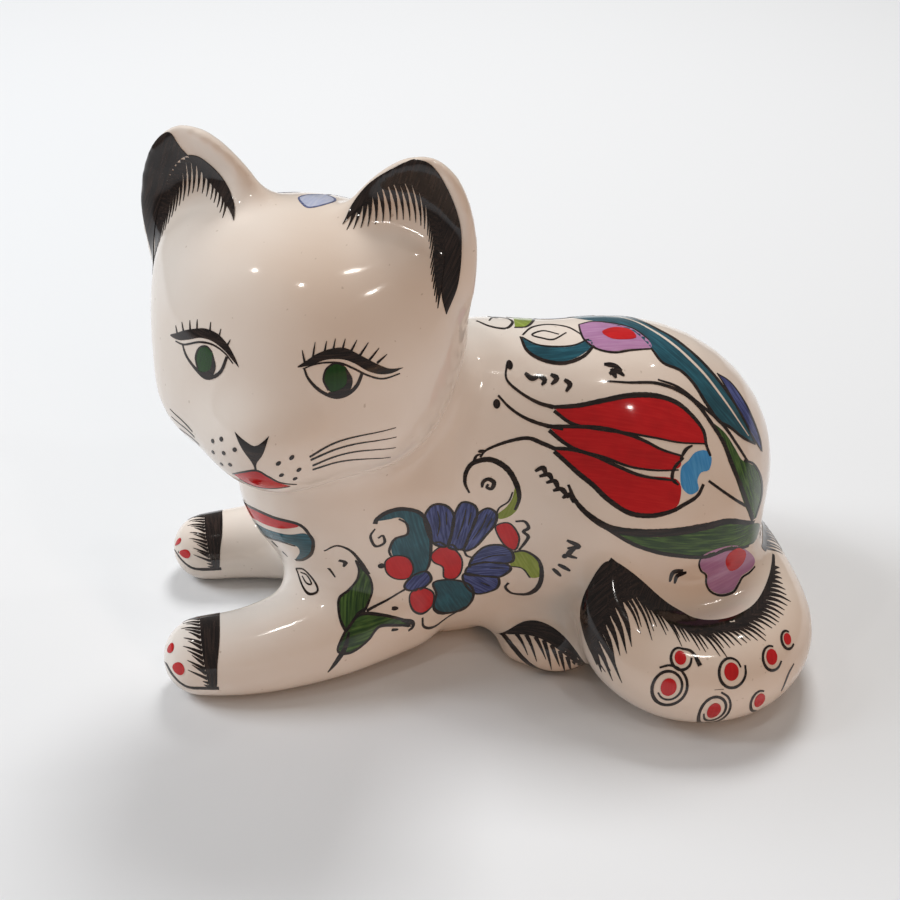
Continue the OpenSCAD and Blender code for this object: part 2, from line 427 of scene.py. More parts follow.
def barrel_chart(start, along, top, radius, reach):
    """Millimetres along a long form, and round it from its top towards its left side.

    The brush comes from reach millimetres outside, or, with no reach, follows the first wall from within.
    """
    side = along.cross(top)

    def chart(run, girth):
        out = math.cos(girth / radius) * top + math.sin(girth / radius) * side
        return start + along * run + out * reach, (-out if reach else out)
    return chart


flank = barrel_chart(BODY_AXIS, -FORWARD, UPWARD, BODY_ROUND, 0)


def far(chart, drop=0):
    """The same drawing on the cat's right side, which the painter set a little lower."""
    return lambda run, girth: chart(run, -girth - drop)


# A patch is a filled shape and a stroke is one pull of the liner brush. Each is a thin
# closed skin of colour that lies on the glaze.
hand = random.Random(11)                 # the small unsteadiness of the painter's hand
COLOUR_LIFT, RED_LIFT, LINE_LIFT, DOT_LIFT = 0.05, 0.07, 0.09, 0.12   # above the glaze
COLOUR_SINK = 0.12                       # how far each skin of colour reaches into the glaze


def curve(points, step=0.7, closed=False):
    """A smooth line through the points, in even steps; a point given twice is a sharp corner."""
    ring = [np.array(p, float) for p in points]
    if closed:
        ring = [ring[-1]] + ring + ring[:2]
    else:
        ring = [2 * ring[0] - ring[1]] + ring + [2 * ring[-1] - ring[-2]]
    line = []
    for a, b, c, d in zip(ring, ring[1:], ring[2:], ring[3:]):
        length = np.linalg.norm(c - b)
        if length == 0:
            continue
        if np.linalg.norm(b - a) == 0:
            a = 2 * b - c
        if np.linalg.norm(d - c) == 0:
            d = 2 * c - b
        count = max(1, round(length / step))
        for k in range(count):
            t = k / count
            line.append(0.5 * (2 * b + (c - a) * t + (2 * a - 5 * b + 4 * c - d) * t * t
                               + (3 * b - a - 3 * c + d) * t ** 3))
    return line if closed else line + [ring[-2]]


def land(chart, spot):
    """The place on the glaze under a point of a drawing, and the way the glaze faces there."""
    start, way = chart(float(spot[0]), float(spot[1]))
    point, _, number, _ = skin_tree.ray_cast(start * MM, way)
    if point is None:
        point, _, number, _ = skin_tree.find_nearest((start + way * 25) * MM)
    ids = skin_faces[number]
    shares = poly_3d_calc([skin_points[i] for i in ids], point)
    normal = sum((skin_normals[i] * share for i, share in zip(ids, shares)), Vector())
    return point, normal.normalized()


def settle(chart, spots, triangles, grain, lift):
    """Lays a flat drawing on the glaze: its places, facings, triangles and the run of the brush."""
    landed = [land(chart, spot) for spot in spots]
    kept = []
    for a, b, c in triangles:
        facing = (landed[b][0] - landed[a][0]).cross(landed[c][0] - landed[a][0])
        kept.append((a, b, c) if facing.dot(landed[a][1]) > 0 else (a, c, b))
    along, across = math.cos(grain), math.sin(grain)
    offset = hand.uniform(0, 90)
    run = [(along * x + across * y + offset, along * y - across * x + offset) for x, y in spots]
    return [(p, n, lift) for p, n in landed], kept, run


def patch(chart, outline, grain=None, lift=COLOUR_LIFT, grid=1.3, step=0.7):
    """A filled shape; the brush runs along its length unless grain gives another way, in degrees."""
    rim = curve(outline, step, closed=True)
    rim = [p for i, p in enumerate(rim) if np.linalg.norm(p - rim[i - 1]) > 0.05]
    shape = np.array(rim)
    middle = shape.mean(0)
    if grain is None:
        grain = math.atan2(*np.linalg.eigh(np.cov((shape - middle).T))[1][::-1, 1])
    else:
        grain = math.radians(grain)
    low, high = shape.min(0), shape.max(0)
    inner = []
    after = np.roll(shape, -1, 0)
    for x in np.arange(low[0] + grid / 2, high[0], grid):
        for y in np.arange(low[1] + grid / 2, high[1], grid):
            crossing = (shape[:, 1] > y) != (after[:, 1] > y)
            rise = np.where(after[:, 1] == shape[:, 1], 1e-9, after[:, 1] - shape[:, 1])
            slope = (after[:, 0] - shape[:, 0]) / rise
            inside = np.sum(crossing & (x < shape[:, 0] + (y - shape[:, 1]) * slope)) % 2
            if inside and np.min(np.hypot(shape[:, 0] - x, shape[:, 1] - y)) > 0.45 * grid:
                inner.append((x, y))
    flat = [Vector(p) for p in rim] + [Vector(p) for p in inner]
    spots, _, triangles, *_ = delaunay_2d_cdt(flat, [], [list(range(len(rim)))], 1, 1e-4)
    return settle(chart, [tuple(s) for s in spots], [tuple(t) for t in triangles], grain, lift)


def stroke(chart, widths, points, lift=LINE_LIFT, closed=False, step=0.5):
    """One pull of the brush along the points, with its widths at the start, the middle and the end."""
    start, middle, end = widths
    line = curve(points, step, closed)
    count = len(line)
    spots, triangles = [], []
    for i, spot in enumerate(line):
        before = line[i - 1] if closed or i else spot
        after = line[(i + 1) % count] if closed or i + 1 < count else spot
        way = (after - before) / max(np.linalg.norm(after - before), 1e-9)
        t = i / (count - 1)
        width = start * (1 - t) * (1 - 2 * t) + 4 * middle * t * (1 - t) + end * t * (2 * t - 1)
        width = max(width * hand.uniform(0.93, 1.07), 0.12)
        side = np.array((-way[1], way[0])) * width / 2
        spots += [tuple(spot - side), tuple(spot), tuple(spot + side)]
    for i in range(count if closed else count - 1):
        a, b = 3 * i, 3 * ((i + 1) % count)
        for left, right in ((a, a + 1), (a + 1, a + 2)):
            other = b + left - a
            triangles += [(left, right, other + 1), (left, other + 1, other)]
    return settle(chart, spots, triangles, 0, lift)


def dot(chart, centre, across, tall=None, lift=DOT_LIFT, turn=0):
    """A round or oval touch of the brush."""
    tall = tall or across
    ring = []
    for k in range(8):
        a = math.tau * k / 8
        x, y = across / 2 * math.cos(a), tall / 2 * math.sin(a)
        ring.append((centre[0] + x * math.cos(turn) - y * math.sin(turn),
                     centre[1] + x * math.sin(turn) + y * math.cos(turn)))
    return patch(chart, ring, lift=lift, grid=0.8, step=0.3)


# Metal-oxide underglaze colours, thinned with water, so the brush leaves long streaks and
# the colour pools in places. The same clear glaze covers them, so they shine as it does.
def colour_material(name, deep, light, streaks=0.5, pools=0.35):
    """A brushed colour: streaks of the light tone along the stroke, and soft pools of the deep one."""
    material, shader, add, join = new_material(name)
    turn = add("ShaderNodeMapping")
    turn.inputs["Scale"].default_value = (0.09, 1.1, 1)
    join(add("ShaderNodeUVMap", uv_map="brush_run").outputs["UV"], turn.inputs["Vector"])
    place = add("ShaderNodeTexCoord").outputs["Object"]
    brushed = spread(add, join, noise(add, join, turn.outputs["Vector"], 1.6, 4), 0.42, 0.68, 0, streaks)
    colour = mix_colour(add, join, brushed, deep, light)
    pooled = spread(add, join, noise(add, join, place, 180, 2), 0.45, 0.7, 0, pools)
    dark = tuple(0.45 * c for c in deep[:3]) + (1,)
    join(mix_colour(add, join, pooled, colour, dark), shader.inputs["Base Color"])
    shader.inputs["Roughness"].default_value = GLOSS
    clear_glaze(add, join, shader, place)
    return material


COLOURS = {"glaze": ivory_glaze}
COLOURS["black_line"] = colour_material(
    "liner black", (0.010, 0.007, 0.007, 1), (0.05, 0.032, 0.026, 1), 0.7, 0.2)
COLOURS["red"] = colour_material("raised red", (0.50, 0.006, 0.010, 1), (0.62, 0.02, 0.02, 1), 0.5, 0.25)
COLOURS["sky_blue"] = colour_material("sky blue", (0.05, 0.27, 0.6, 1), (0.12, 0.42, 0.75, 1), 0.6, 0.2)


def paint(name, slot, sheets, colour=None):
    """Makes one piece of colour out of its patches and strokes, closed underneath."""
    points, facings, faces, runs = [], [], [], []
    for landed, triangles, run in sheets:
        base, count = len(points), len(landed)
        points += [p + n * lift * MM for p, n, lift in landed]
        points += [p - n * COLOUR_SINK * MM for p, n, lift in landed]
        facings += [n for p, n, lift in landed] + [-n for p, n, lift in landed]
        runs += run + run
        ways = {(a, b) for t in triangles for a, b in zip(t, t[1:] + t[:1])}
        faces += [tuple(base + i for i in t) for t in triangles]
        faces += [tuple(base + count + i for i in reversed(t)) for t in triangles]
        faces += [(base + b, base + a, base + count + a, base + count + b)
                  for a, b in sorted(ways) if (b, a) not in ways]
    mesh = bpy.data.meshes.new(name)
    mesh.from_pydata(points, [], faces)
    mesh.polygons.foreach_set("use_smooth", [True] * len(faces))
    brush_run = mesh.uv_layers.new(name="brush_run")
    for loop in mesh.loops:
        brush_run.data[loop.index].uv = runs[loop.vertex_index]
    mesh.normals_split_custom_set_from_vertices(facings)
    mesh.materials.append(COLOURS[colour or slot])
    piece = bpy.data.objects.new(name, mesh)
    bpy.context.collection.objects.link(piece)
    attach(piece, "root")


TULIP_PETALS = [
    [(14, 19.5), (14, 19.5), (20, 20), (26.5, 19.5), (33, 19), (39.5, 19), (45, 20.5), (48.5, 23.5),
        (51.5, 27), (52, 30.5), (52, 30.5), (45, 30.3), (38.5, 29), (32, 27.5), (26, 26.5), (18.5, 24),
        (15.5, 21.5)],
    [(12.5, 24), (12.5, 24), (20, 25), (26, 26), (32, 28), (36, 29.8), (40, 32), (45, 34), (45, 34),
        (44, 37), (38, 37), (31.5, 35.7), (25.5, 33), (19.5, 30.8), (16, 28.3)],
    [(13, 29.5), (13, 29.5), (18, 30.5), (23, 32.5), (28.5, 35.5), (34.5, 38.3), (43.5, 40), (44, 45.5),
        (41.5, 47.8), (36.5, 48.5), (31, 47.5), (26, 44), (22.5, 40), (19, 36.5), (15.5, 32.5)],
]
CALYX = [(49, 33), (52, 32.5), (53.5, 34.5), (52.5, 37.8), (50.2, 38.4), (49, 40.4), (49.2, 43),
    (46.8, 44), (44.7, 42), (44.4, 39), (45, 36.6), (46.8, 35.2)]


def tulip(chart, side):
    paint(side + "_tulip_petals", "red", [patch(chart, petal, 12) for petal in TULIP_PETALS])
    paint(side + "_tulip_calyx", "sky_blue", [patch(chart, CALYX, 80)])
    lines = [
        stroke(chart, (0.5, 0.7, 1.0), [(3.5, 8.5), (3, 12), (6, 15.2), (10.2, 18), (14, 19.6)]),
        stroke(chart, (0.9, 1.3, 0.7), [(14, 19.6), (20, 20), (26.5, 19.5), (33, 18.8), (39.5, 18.9),
            (45, 20.3), (49, 23.3), (51.8, 27), (52.3, 31), (53.2, 34)]),
        stroke(chart, (0.9, 0.6, 0.4), [(14, 20.5), (18.5, 24.3), (26, 26.6), (32, 27.8), (38.5, 29.2),
            (45, 30.5), (52, 30.7)]),
        stroke(chart, (0.5, 0.8, 1.1), [(0.5, 15.6), (3.2, 18.6), (6.8, 21.3), (11.5, 23.6), (16, 25)]),
        stroke(chart, (0.9, 0.9, 0.5), [(12, 24), (20, 25.1), (26, 26.2), (32, 28.2), (36, 30),
            (40, 32.2), (45, 33.9)]),
        stroke(chart, (1.0, 0.7, 0.4), [(12.5, 25), (16, 28.6), (19.5, 31), (25.5, 33.3), (31.5, 36),
            (38, 37.3), (44, 37.5)]),
        stroke(chart, (0.5, 0.9, 1.1), [(-4.6, 30.2), (-2.9, 28.3), (2.1, 26.7), (7.2, 26.3),
            (10.8, 28.1), (14, 30)]),
        stroke(chart, (0.9, 0.9, 0.5), [(13, 29.6), (18, 30.6), (23, 32.6), (28.5, 35.7), (34.5, 38.5),
            (43.3, 40.2)]),
        stroke(chart, (1.0, 1.3, 0.8), [(13.5, 30.5), (15.7, 33), (19, 36.8), (22.5, 40.3), (26, 44.2),
            (31, 47.8), (36.5, 48.8), (41.8, 48), (45, 46.6), (48.8, 44.6), (50.7, 41.6)]),
        stroke(chart, (0.4, 0.9, 0.4), [(44.6, 34.8), (46.4, 32.3), (48.3, 31.2)]),
        stroke(chart, (0.5, 0.9, 0.5), [(45.6, 34.4), (43, 36.8), (42.2, 39.7), (43.8, 41.3)]),
        stroke(chart, (0.7, 0.8, 0.9), [(52.2, 40.8), (57.5, 45), (64, 50.3)]),
        dot(chart, (4.2, 8.6), 1.7, 2.4), dot(chart, (0, 17.5), 1.8, 2.2),
        dot(chart, (-4.2, 28.6), 2.0, 0.9),
    ]
    lines += [stroke(chart, (0.7, 1.3, 0.5), marks) for marks in (
        [(7.8, 10.8), (9.4, 12.2), (11.2, 11.8)], [(10.8, 11.4), (12.6, 12.8), (11.6, 14)],
        [(14.2, 11.6), (15.6, 12.8), (14, 14.1)], [(17.4, 13.3), (18.6, 14.7), (17.4, 16.3)],
        [(27.8, 10.7), (30.3, 11.3), (32, 12.7)], [(28.7, 13.3), (30.6, 12.6), (32.4, 14)],
        [(29.4, 12), (30.2, 14.4)],
        [(8.8, 35.4), (10.7, 34.6), (11.5, 37.1)], [(9.8, 37), (12, 36.6), (13, 38.7)],
        [(11.4, 39), (13.4, 38.6), (14.4, 41.5)], [(13, 41.4), (15, 41), (16.6, 43.6)],
        [(15.2, 43.6), (17, 42.6), (17.8, 45)],
        [(16.4, 56.4), (19.2, 57.9), (16.6, 59)], [(18.6, 58), (16.9, 61), (19, 61.6)],
        [(16.5, 61), (15.7, 62.4)],
        [(14.7, 65), (17.6, 66.1)], [(13.6, 67), (15.6, 69)], [(46, 65.2), (43.4, 65.4), (42.6, 67.9)],
        [(47, 66), (44.6, 66.6), (44, 68.6)])]
    paint(side + "_tulip_lines", "black_line", lines)


# ---------------------------------------------------------------------------
# The long leaves and the low blossom on each flank.
# Two long green leaves bend round the tulip, one below and one behind it, and end in a lilac
# blossom over the tail. The painter repeats them and the tulip a little lower on the right.
# ---------------------------------------------------------------------------
MIRROR = Vector((1, -1, 1))


def looking(around, above):
    """A flat drawing board seen from this far round and above the cat, in degrees."""
    around, above = math.radians(around), math.radians(above)
    back, side = eye_way(around, above)
    rise = back.cross(side)
    return lambda x, y: (side * x + rise * y + back * 120, -back)


def mirrored(chart):
    """The same drawing board on the cat's other side."""
    return lambda x, y: tuple(v * MIRROR for v in chart(x, y))


COLOURS["green"] = colour_material("leaf green", (0.016, 0.05, 0.010, 1), (0.10, 0.20, 0.04, 1), 0.85)
COLOURS["lilac"] = colour_material("lilac", (0.40, 0.19, 0.36, 1), (0.54, 0.32, 0.50, 1), 0.5, 0.15)


def long_leaves(chart, low, side):
    """The two long leaves that bend round the tulip, and the lilac blossoms at their ends."""
    paint(side + "_long_leaves", "green", [
        patch(chart, [(54, 24), (54, 24), (58.2, 26.8), (61, 31), (63.2, 34.8), (66, 36), (68.6, 37.6),
            (70.6, 43), (70.8, 50.5), (67.6, 57), (67.6, 57), (64.4, 52), (61.6, 44), (59, 35.5),
            (56.5, 28.8)], 75),
        patch(chart, [(24, 50.5), (24, 50.5), (27.5, 52.3), (34.5, 53.6), (43, 54), (51.5, 53.8),
            (59, 54), (67.5, 58.5), (71, 64), (70, 68), (66, 65.6), (58.8, 62), (52, 62), (45, 60.3),
            (38, 58.3), (31.5, 55.7)], 10)])
    paint(side + "_leaf_lines", "black_line", [
        stroke(chart, (0.4, 1.2, 1.3), [(27.7, 15), (33.4, 15.7), (40.1, 15.8), (46, 17.2), (50.7, 20),
            (54.4, 24.7), (57.6, 30), (59.7, 36.5), (62.6, 44.4), (66.8, 56.8)]),
        stroke(chart, (0.4, 1.0, 0.8), [(41, 14.9), (46.2, 16.4), (52, 20.3), (57.8, 24.5), (62, 30),
            (65.2, 35)]),
        stroke(chart, (0.8, 1.0, 0.8), [(64, 35), (68, 36.4), (70.8, 42.5), (71, 50.4), (68, 57)]),
        stroke(chart, (0.6, 2.2, 1.0), [(16.6, 39.8), (18.4, 44.7), (22, 49), (27, 52.1), (34.5, 53.3),
            (43, 53.6), (51.5, 53.3), (59, 53.5), (67.5, 58)]),
        stroke(chart, (0.8, 1.1, 0.8), [(25, 51.6), (31.5, 55.9), (38, 58.7), (45, 60.7), (52.1, 62.4),
            (58.9, 62.4), (66.2, 66)])])
    paint(side + "_lilac_low", "lilac", [
        patch(low, [(50.8, 9.4), (50.5, 7.6), (51.5, 5.8), (53.2, 4.5), (53.3, 2.3), (54.2, 0.6),
            (56.2, -0.6), (58.4, -0.7), (60.7, 0), (62.4, 1.9), (63.8, 3.4), (66.2, 4.4), (68.3, 5.8),
            (68.8, 7.4), (66.5, 9.4), (61, 11.5), (55, 11)], 20)])
    paint(side + "_lilac_low_heart", "red", [
        patch(low, [(58.4, 7.2), (59, 9.4), (62, 10.8), (65, 9.6), (65.2, 8), (64.1, 6.4), (62.2, 5.2),
            (60, 5)], 0, DOT_LIFT)])
    paint(side + "_lilac_low_lines", "black_line", [
        stroke(low, (0.4, 0.6, 0.4), [(51, 10), (50.3, 7.6), (51.2, 5.6), (52.8, 4.4), (53, 2.2),
            (54, 0.2), (56.1, -1), (58.4, -1.1), (60.8, -0.4), (62.6, 1.5), (64, 3), (66.4, 4),
            (68.6, 5.4)])])


haunch_left = looking(0, 35)
for chart, low, side in ((flank, haunch_left, "left"), (far(flank, 2), mirrored(haunch_left), "right")):
    tulip(chart, side)
    long_leaves(chart, low, side)

# ---------------------------------------------------------------------------
# The back, painted once across the spine.
# A teal sickle and a lilac blossom open a long teal leaf that runs over the rump, with a
# blue bud beyond it and a small looped leaf at the nape.
# ---------------------------------------------------------------------------
VEIN_LIFT = 0.08
COLOURS["teal"] = colour_material("brushed teal", (0.012, 0.066, 0.095, 1), (0.03, 0.16, 0.22, 1), 0.7)
COLOURS["blue"] = colour_material("brushed blue", (0.022, 0.032, 0.14, 1), (0.12, 0.16, 0.44, 1), 0.8)
COLOURS["light_green"] = colour_material("yellow green", (0.22, 0.3, 0.03, 1), (0.38, 0.46, 0.1, 1), 0.6, 0.3)
paint("back_teal", "teal", [
    patch(flank, [(8.6, 0.8), (8.6, 0.8), (9.6, 4.8), (13, 7.3), (18, 8.6), (22.6, 7.5), (26, 5),
        (25.6, 3), (21.3, 4.6), (16.2, 4.3), (11.8, 3.2)], 0),
    patch(flank, [(24, -13), (24, -13), (32, -15), (38, -13), (43.5, -4), (50, 2.4), (55.3, 7.8),
        (59, 12), (64, 19), (68.7, 27.8), (68.7, 27.8), (65, 27), (60, 24.5), (56.8, 23.4), (53.7, 19.3),
        (50.8, 14.4), (47.6, 11.4), (43.2, 9.8), (41, 6), (37.4, 0), (31, -4), (26, -8)], 45)])
paint("back_blue", "blue", [
    patch(flank, [(59, 9), (59, 9), (63.5, 10.5), (67.5, 16), (70.5, 24), (71.5, 30), (71.5, 30),
        (67.5, 24), (63.5, 17)], 55),
    patch(flank, [(12, -16), (17, -19), (23, -18), (26, -13), (22, -11), (16, -12)], 0)])
paint("back_lilac", "lilac", [
    patch(flank, [(24.6, -3.5), (24.3, 0), (24.6, 3), (27, 6), (31, 7.3), (35.3, 6.8), (40.8, 6.3),
        (41, 3.6), (37.6, -1), (33.5, -3), (28.6, -4.6)], 0)])
paint("back_lilac_heart", "red", [
    patch(flank, [(29.6, 0.6), (31.3, 3.2), (34.7, 3.7), (38, 2.8), (37, -0.4),
        (33.2, -1.2)], 0, DOT_LIFT)])
paint("back_white_vein", "glaze", [
    stroke(flank, (0.3, 0.9, 0.3), [(30, -11), (37, -8.5), (43, -1.5), (49, 5), (55, 11.5), (61, 19),
        (66.5, 26)], lift=VEIN_LIFT)])
back_lines = [
    stroke(flank, (0.6, 1.0, 0.6), [(8.4, 0.4), (9.3, 4.9), (12.8, 7.7), (18, 9.1), (23, 8),
        (26.4, 5.2)]),
    stroke(flank, (0.4, 0.5, 0.4), [(8.8, 0.6), (12, 3), (16.2, 4), (21.3, 4.3), (25.6, 2.8)]),
    stroke(flank, (0.4, 0.6, 0.4), [(9.1, -0.2), (12.5, -3.9), (17, -5.5), (21.4, -3.3), (24.2, 1)]),
    stroke(flank, (0.35, 0.5, 0.35), [(18.6, -0.2), (15, -2.1), (11.6, -0.4), (13.9, 0.9), (16.8, 1.6),
        (20.6, -0.6)]),
    stroke(flank, (0.4, 0.6, 0.4), [(24.6, -3.5), (24.2, 0), (24.5, 3), (26.8, 6.2), (31, 7.7),
        (35.3, 7.2), (41, 6.5)]),
    stroke(flank, (0.4, 0.6, 0.4), [(24.6, -3.8), (28.6, -4.9), (33.5, -3.3), (37.8, -1.2), (41.2, 3.4)]),
    stroke(flank, (0.5, 1.1, 0.8), [(24, -13), (32, -15.3), (38.2, -13.2), (43.7, -4), (50.2, 2.2),
        (55.5, 7.6), (59.2, 11.8), (64.2, 18.8), (69, 27.8)]),
    stroke(flank, (0.6, 1.0, 0.9), [(41, 6.2), (43.2, 10.2), (47.7, 11.8), (50.8, 14.7), (53.7, 19.6),
        (56.8, 23.8), (60, 24.9), (65, 27.5), (69, 28)]),
    stroke(flank, (0.4, 0.8, 0.5), [(59, 9), (63.7, 10.2), (67.9, 16), (70.9, 24), (71.7, 30)]),
    stroke(flank, (0.4, 0.7, 0.4), [(59, 9), (63.3, 17.2), (67.3, 24.2), (71.4, 30)]),
    stroke(flank, (0.4, 0.6, 0.4), [(12, -16), (17, -19.3), (23, -18.4), (26.4, -13), (22, -10.8),
        (16, -11.7), (12, -16)]),
    stroke(flank, (0.5, 0.7, 0.4), [(-1.5, -7.2), (1.2, -3.8), (5.4, -2.8), (7.8, -6.3), (7, -9.4),
        (4, -10.8), (1.8, -7)]),
    stroke(flank, (0.4, 0.7, 0.4), [(7.6, -3.3), (11.3, -4.3), (14.2, -10), (14.4, -17.8)]),
]
paint("back_lines", "black_line", back_lines)
paint("nape_leaf", "light_green", [
    patch(flank, [(7.8, -3.4), (7.8, -3.4), (11.3, -4.6), (14, -10), (14.3, -17.6), (14.3, -17.6),
        (10, -16.5), (8.8, -9.5)], 60)])

# ---------------------------------------------------------------------------
# The carnation on each shoulder.
# Blue fan petals round a red heart, teal sickle petals before and below it, small red buds
# and yellow-green tips, with one black scroll rising towards the neck.
# ---------------------------------------------------------------------------
FINE_LIFT = 0.1


def carnation(chart, side):
    teal_shapes = [
        [(-31, 47.4), (-28.4, 45.2), (-24.5, 44.8), (-20, 47), (-18, 52), (-17.4, 58), (-17.6, 66),
            (-18.6, 70.2), (-21.5, 70.8), (-25.6, 65), (-27.4, 58.8), (-26.4, 54.8), (-23.1, 53.4),
            (-23.4, 49.6), (-25.4, 47.2), (-28.2, 47.4)],
        [(-16.1, 75.6), (-11.4, 75.6), (-6.4, 79.2), (-5.2, 85.8), (-7.6, 91.6), (-12, 90.2),
            (-15.8, 85.2), (-15.2, 81)]]
    blue_shapes = [
        [(-18.8, 51), (-18.7, 47), (-16.6, 44.2), (-13.2, 45), (-11.3, 49), (-11.9, 55.8), (-13.1, 60.6),
            (-16.6, 58.4)],
        [(-11.3, 49), (-9.3, 44.2), (-6, 45.6), (-5.4, 49.6), (-7.2, 56.5), (-8.8, 62.4), (-12.6, 61),
            (-11.9, 55)],
        [(-5.4, 49.4), (-2.8, 46.8), (-0.5, 48.9), (-0.8, 52.9), (-2.7, 56.9), (-5.8, 62.3), (-8.5, 63),
            (-7, 56)],
        [(-6.2, 66.6), (-3.2, 62.3), (1, 61.6), (3.7, 64), (4, 68), (1, 69.6), (-3, 69), (-6.6, 70)],
        [(-6.8, 70), (-2, 69.2), (2.5, 69.6), (3.7, 72), (1, 76), (-3, 75.4), (-7.6, 74)],
        [(-8.2, 73.6), (-3, 75.6), (0.8, 76.4), (0.6, 82), (-4.2, 84), (-7.6, 79)],
        [(-23.7, 74.7), (-21.5, 70.9), (-18.2, 70), (-16.8, 74.2), (-19.2, 77.3), (-22.7, 76.9)]]
    red_shapes = [
        [(-28.8, 63.3), (-26.3, 61.3), (-23, 63), (-21.6, 67.8), (-22.8, 71.8), (-26.1, 71.5),
            (-28.4, 68.3)],
        [(-21.7, 77.6), (-19, 76.9), (-16.1, 79.9), (-16.2, 84), (-18.7, 84.5), (-21.4, 82.7),
            (-22.4, 80)],
        [(-17.1, 63.2), (-14.5, 60.4), (-11.1, 62.3), (-9, 67), (-9.1, 72.6), (-10.7, 75.3), (-13.4, 74),
            (-13.9, 69.3), (-16.3, 66.5)],
        [(-0.5, 53.6), (2.3, 52.4), (4.2, 54.6), (5.3, 58.5), (4.4, 63), (1.9, 61.6), (-0.1, 57)]]
    green_shapes = [
        [(-0.5, 49.6), (2, 46.4), (3.4, 43.2), (4.2, 39), (5, 43.6), (4.7, 47), (2.9, 49.8), (0.4, 51)],
        [(3.8, 64.5), (6.8, 63.2), (10, 65.5), (10.9, 71.2), (8.6, 73.3), (6.6, 70.3), (3.7, 70.2)]]
    paint(side + "_carnation_teal", "teal", [patch(chart, s) for s in teal_shapes])
    paint(side + "_carnation_blue", "blue", [patch(chart, s) for s in blue_shapes])
    paint(side + "_carnation_red", "red", [patch(chart, s, lift=RED_LIFT) for s in red_shapes])
    paint(side + "_carnation_green", "light_green", [patch(chart, s) for s in green_shapes])
    lines = [stroke(chart, (0.6, 0.75, 0.6), s, closed=True) for s in teal_shapes[1:] + blue_shapes]
    lines += [stroke(chart, (0.4, 0.5, 0.4), s, closed=True) for s in red_shapes]
    lines += [
        stroke(chart, (1.2, 1.0, 0.6), [(-31.6, 48.4), (-31, 46.8), (-28.4, 45), (-24.5, 44.5),
            (-20, 46.6), (-17.8, 52), (-17.2, 58), (-17.4, 66), (-18.4, 70.4)]),
        stroke(chart, (0.6, 0.7, 0.5), [(-27.3, 61.6), (-27.9, 58.8), (-26.6, 54.6), (-23.4, 53.4),
            (-23.6, 49.6), (-25.6, 47.6)]),
        stroke(chart, (0.4, 0.8, 0.5), [(-31.6, 50.1), (-32.7, 52.7), (-31.4, 56.6), (-29.2, 55.6),
            (-29.6, 52.8), (-30.8, 53.6)]),
        stroke(chart, (0.7, 0.6, 0.6), [(-16.7, 58.6), (-15, 58.4), (-13.2, 60.2), (-11.6, 60.2),
            (-10.2, 62.4), (-8.6, 63.2), (-7.8, 65.6), (-6.2, 67), (-7, 69.4), (-6.6, 71)]),
        stroke(chart, (0.6, 0.9, 0.5), [(4.2, 51.8), (6.4, 51.6), (7.4, 53.8), (6.2, 55.4), (7.4, 57),
            (6.6, 59.8), (5.4, 62.8)]),
        stroke(chart, (0.5, 1.5, 0.6), [(-7.4, 41), (-8.5, 37.5), (-8, 33.8), (-6, 31.5), (-1.9, 31.1),
            (2, 34), (4.3, 38.9), (5, 43.6), (4, 47.6)]),
        stroke(chart, (0.8, 0.7, 0.4), [(-6.2, 31.4), (-5.6, 29.8), (-4.4, 29.4)]),
        stroke(chart, (0.6, 1.2, 0.6), [(-4.2, 39.4), (-3.9, 37.6), (-2.6, 36.8), (-1.2, 38), (-1.8, 40),
            (-3, 39.4), (-2.6, 38.4)]),
        stroke(chart, (0.4, 0.5, 0.4), [(-0.6, 49.6), (0.2, 46.8), (2.4, 44.6), (3.4, 41.4)]),
        stroke(chart, (0.5, 1.1, 0.6), [(3.7, 64.2), (6.9, 62.9), (10.2, 65.4), (11.2, 71), (10.6, 77),
            (8.4, 82), (5, 83.6), (3, 81), (3.6, 78.4)]),
        stroke(chart, (0.4, 0.5, 0.5), [(3.8, 70.4), (6.6, 70.4), (8.6, 73.5)]),
        stroke(chart, (0.5, 0.7, 0.8), [(-19, 85.4), (-18.4, 88.4), (-14.4, 92), (-10.4, 92.4),
            (-6.6, 90)]),
        stroke(chart, (0.6, 0.5, 0.5), [(-23.6, 76.5), (-28, 78.6), (-33.6, 79.8)]),
        dot(chart, (-29.8, 65.2), 1.8, 2.2)]
    lines += [stroke(chart, (0.25, 0.45, 0.2), s, lift=FINE_LIFT) for s in (
        [(-15.6, 46.5), (-15, 51), (-15.6, 56)], [(-13.4, 47), (-13.2, 52)],
        [(-8.2, 46.6), (-9, 52), (-10.4, 58)],
        [(-6.9, 48), (-7.6, 53)], [(-2.8, 49), (-4.2, 54), (-6.4, 59)], [(-1.6, 50.6), (-3, 54.6)],
        [(2.4, 65.6), (-1, 66.2), (-4, 67.6)], [(2.2, 71.6), (-1.6, 72)], [(-1, 80.6), (-3.6, 78.4)])]
    paint(side + "_carnation_lines", "black_line", lines)


# ---------------------------------------------------------------------------
# The leaves on each foreleg.
# One green leaf curls up the shoulder and one runs down along the leg, from the stem of
# the carnation, with a sharp black foot.
# ---------------------------------------------------------------------------
LEAF_LIFT, FINE_GRID = 0.08, 0.7


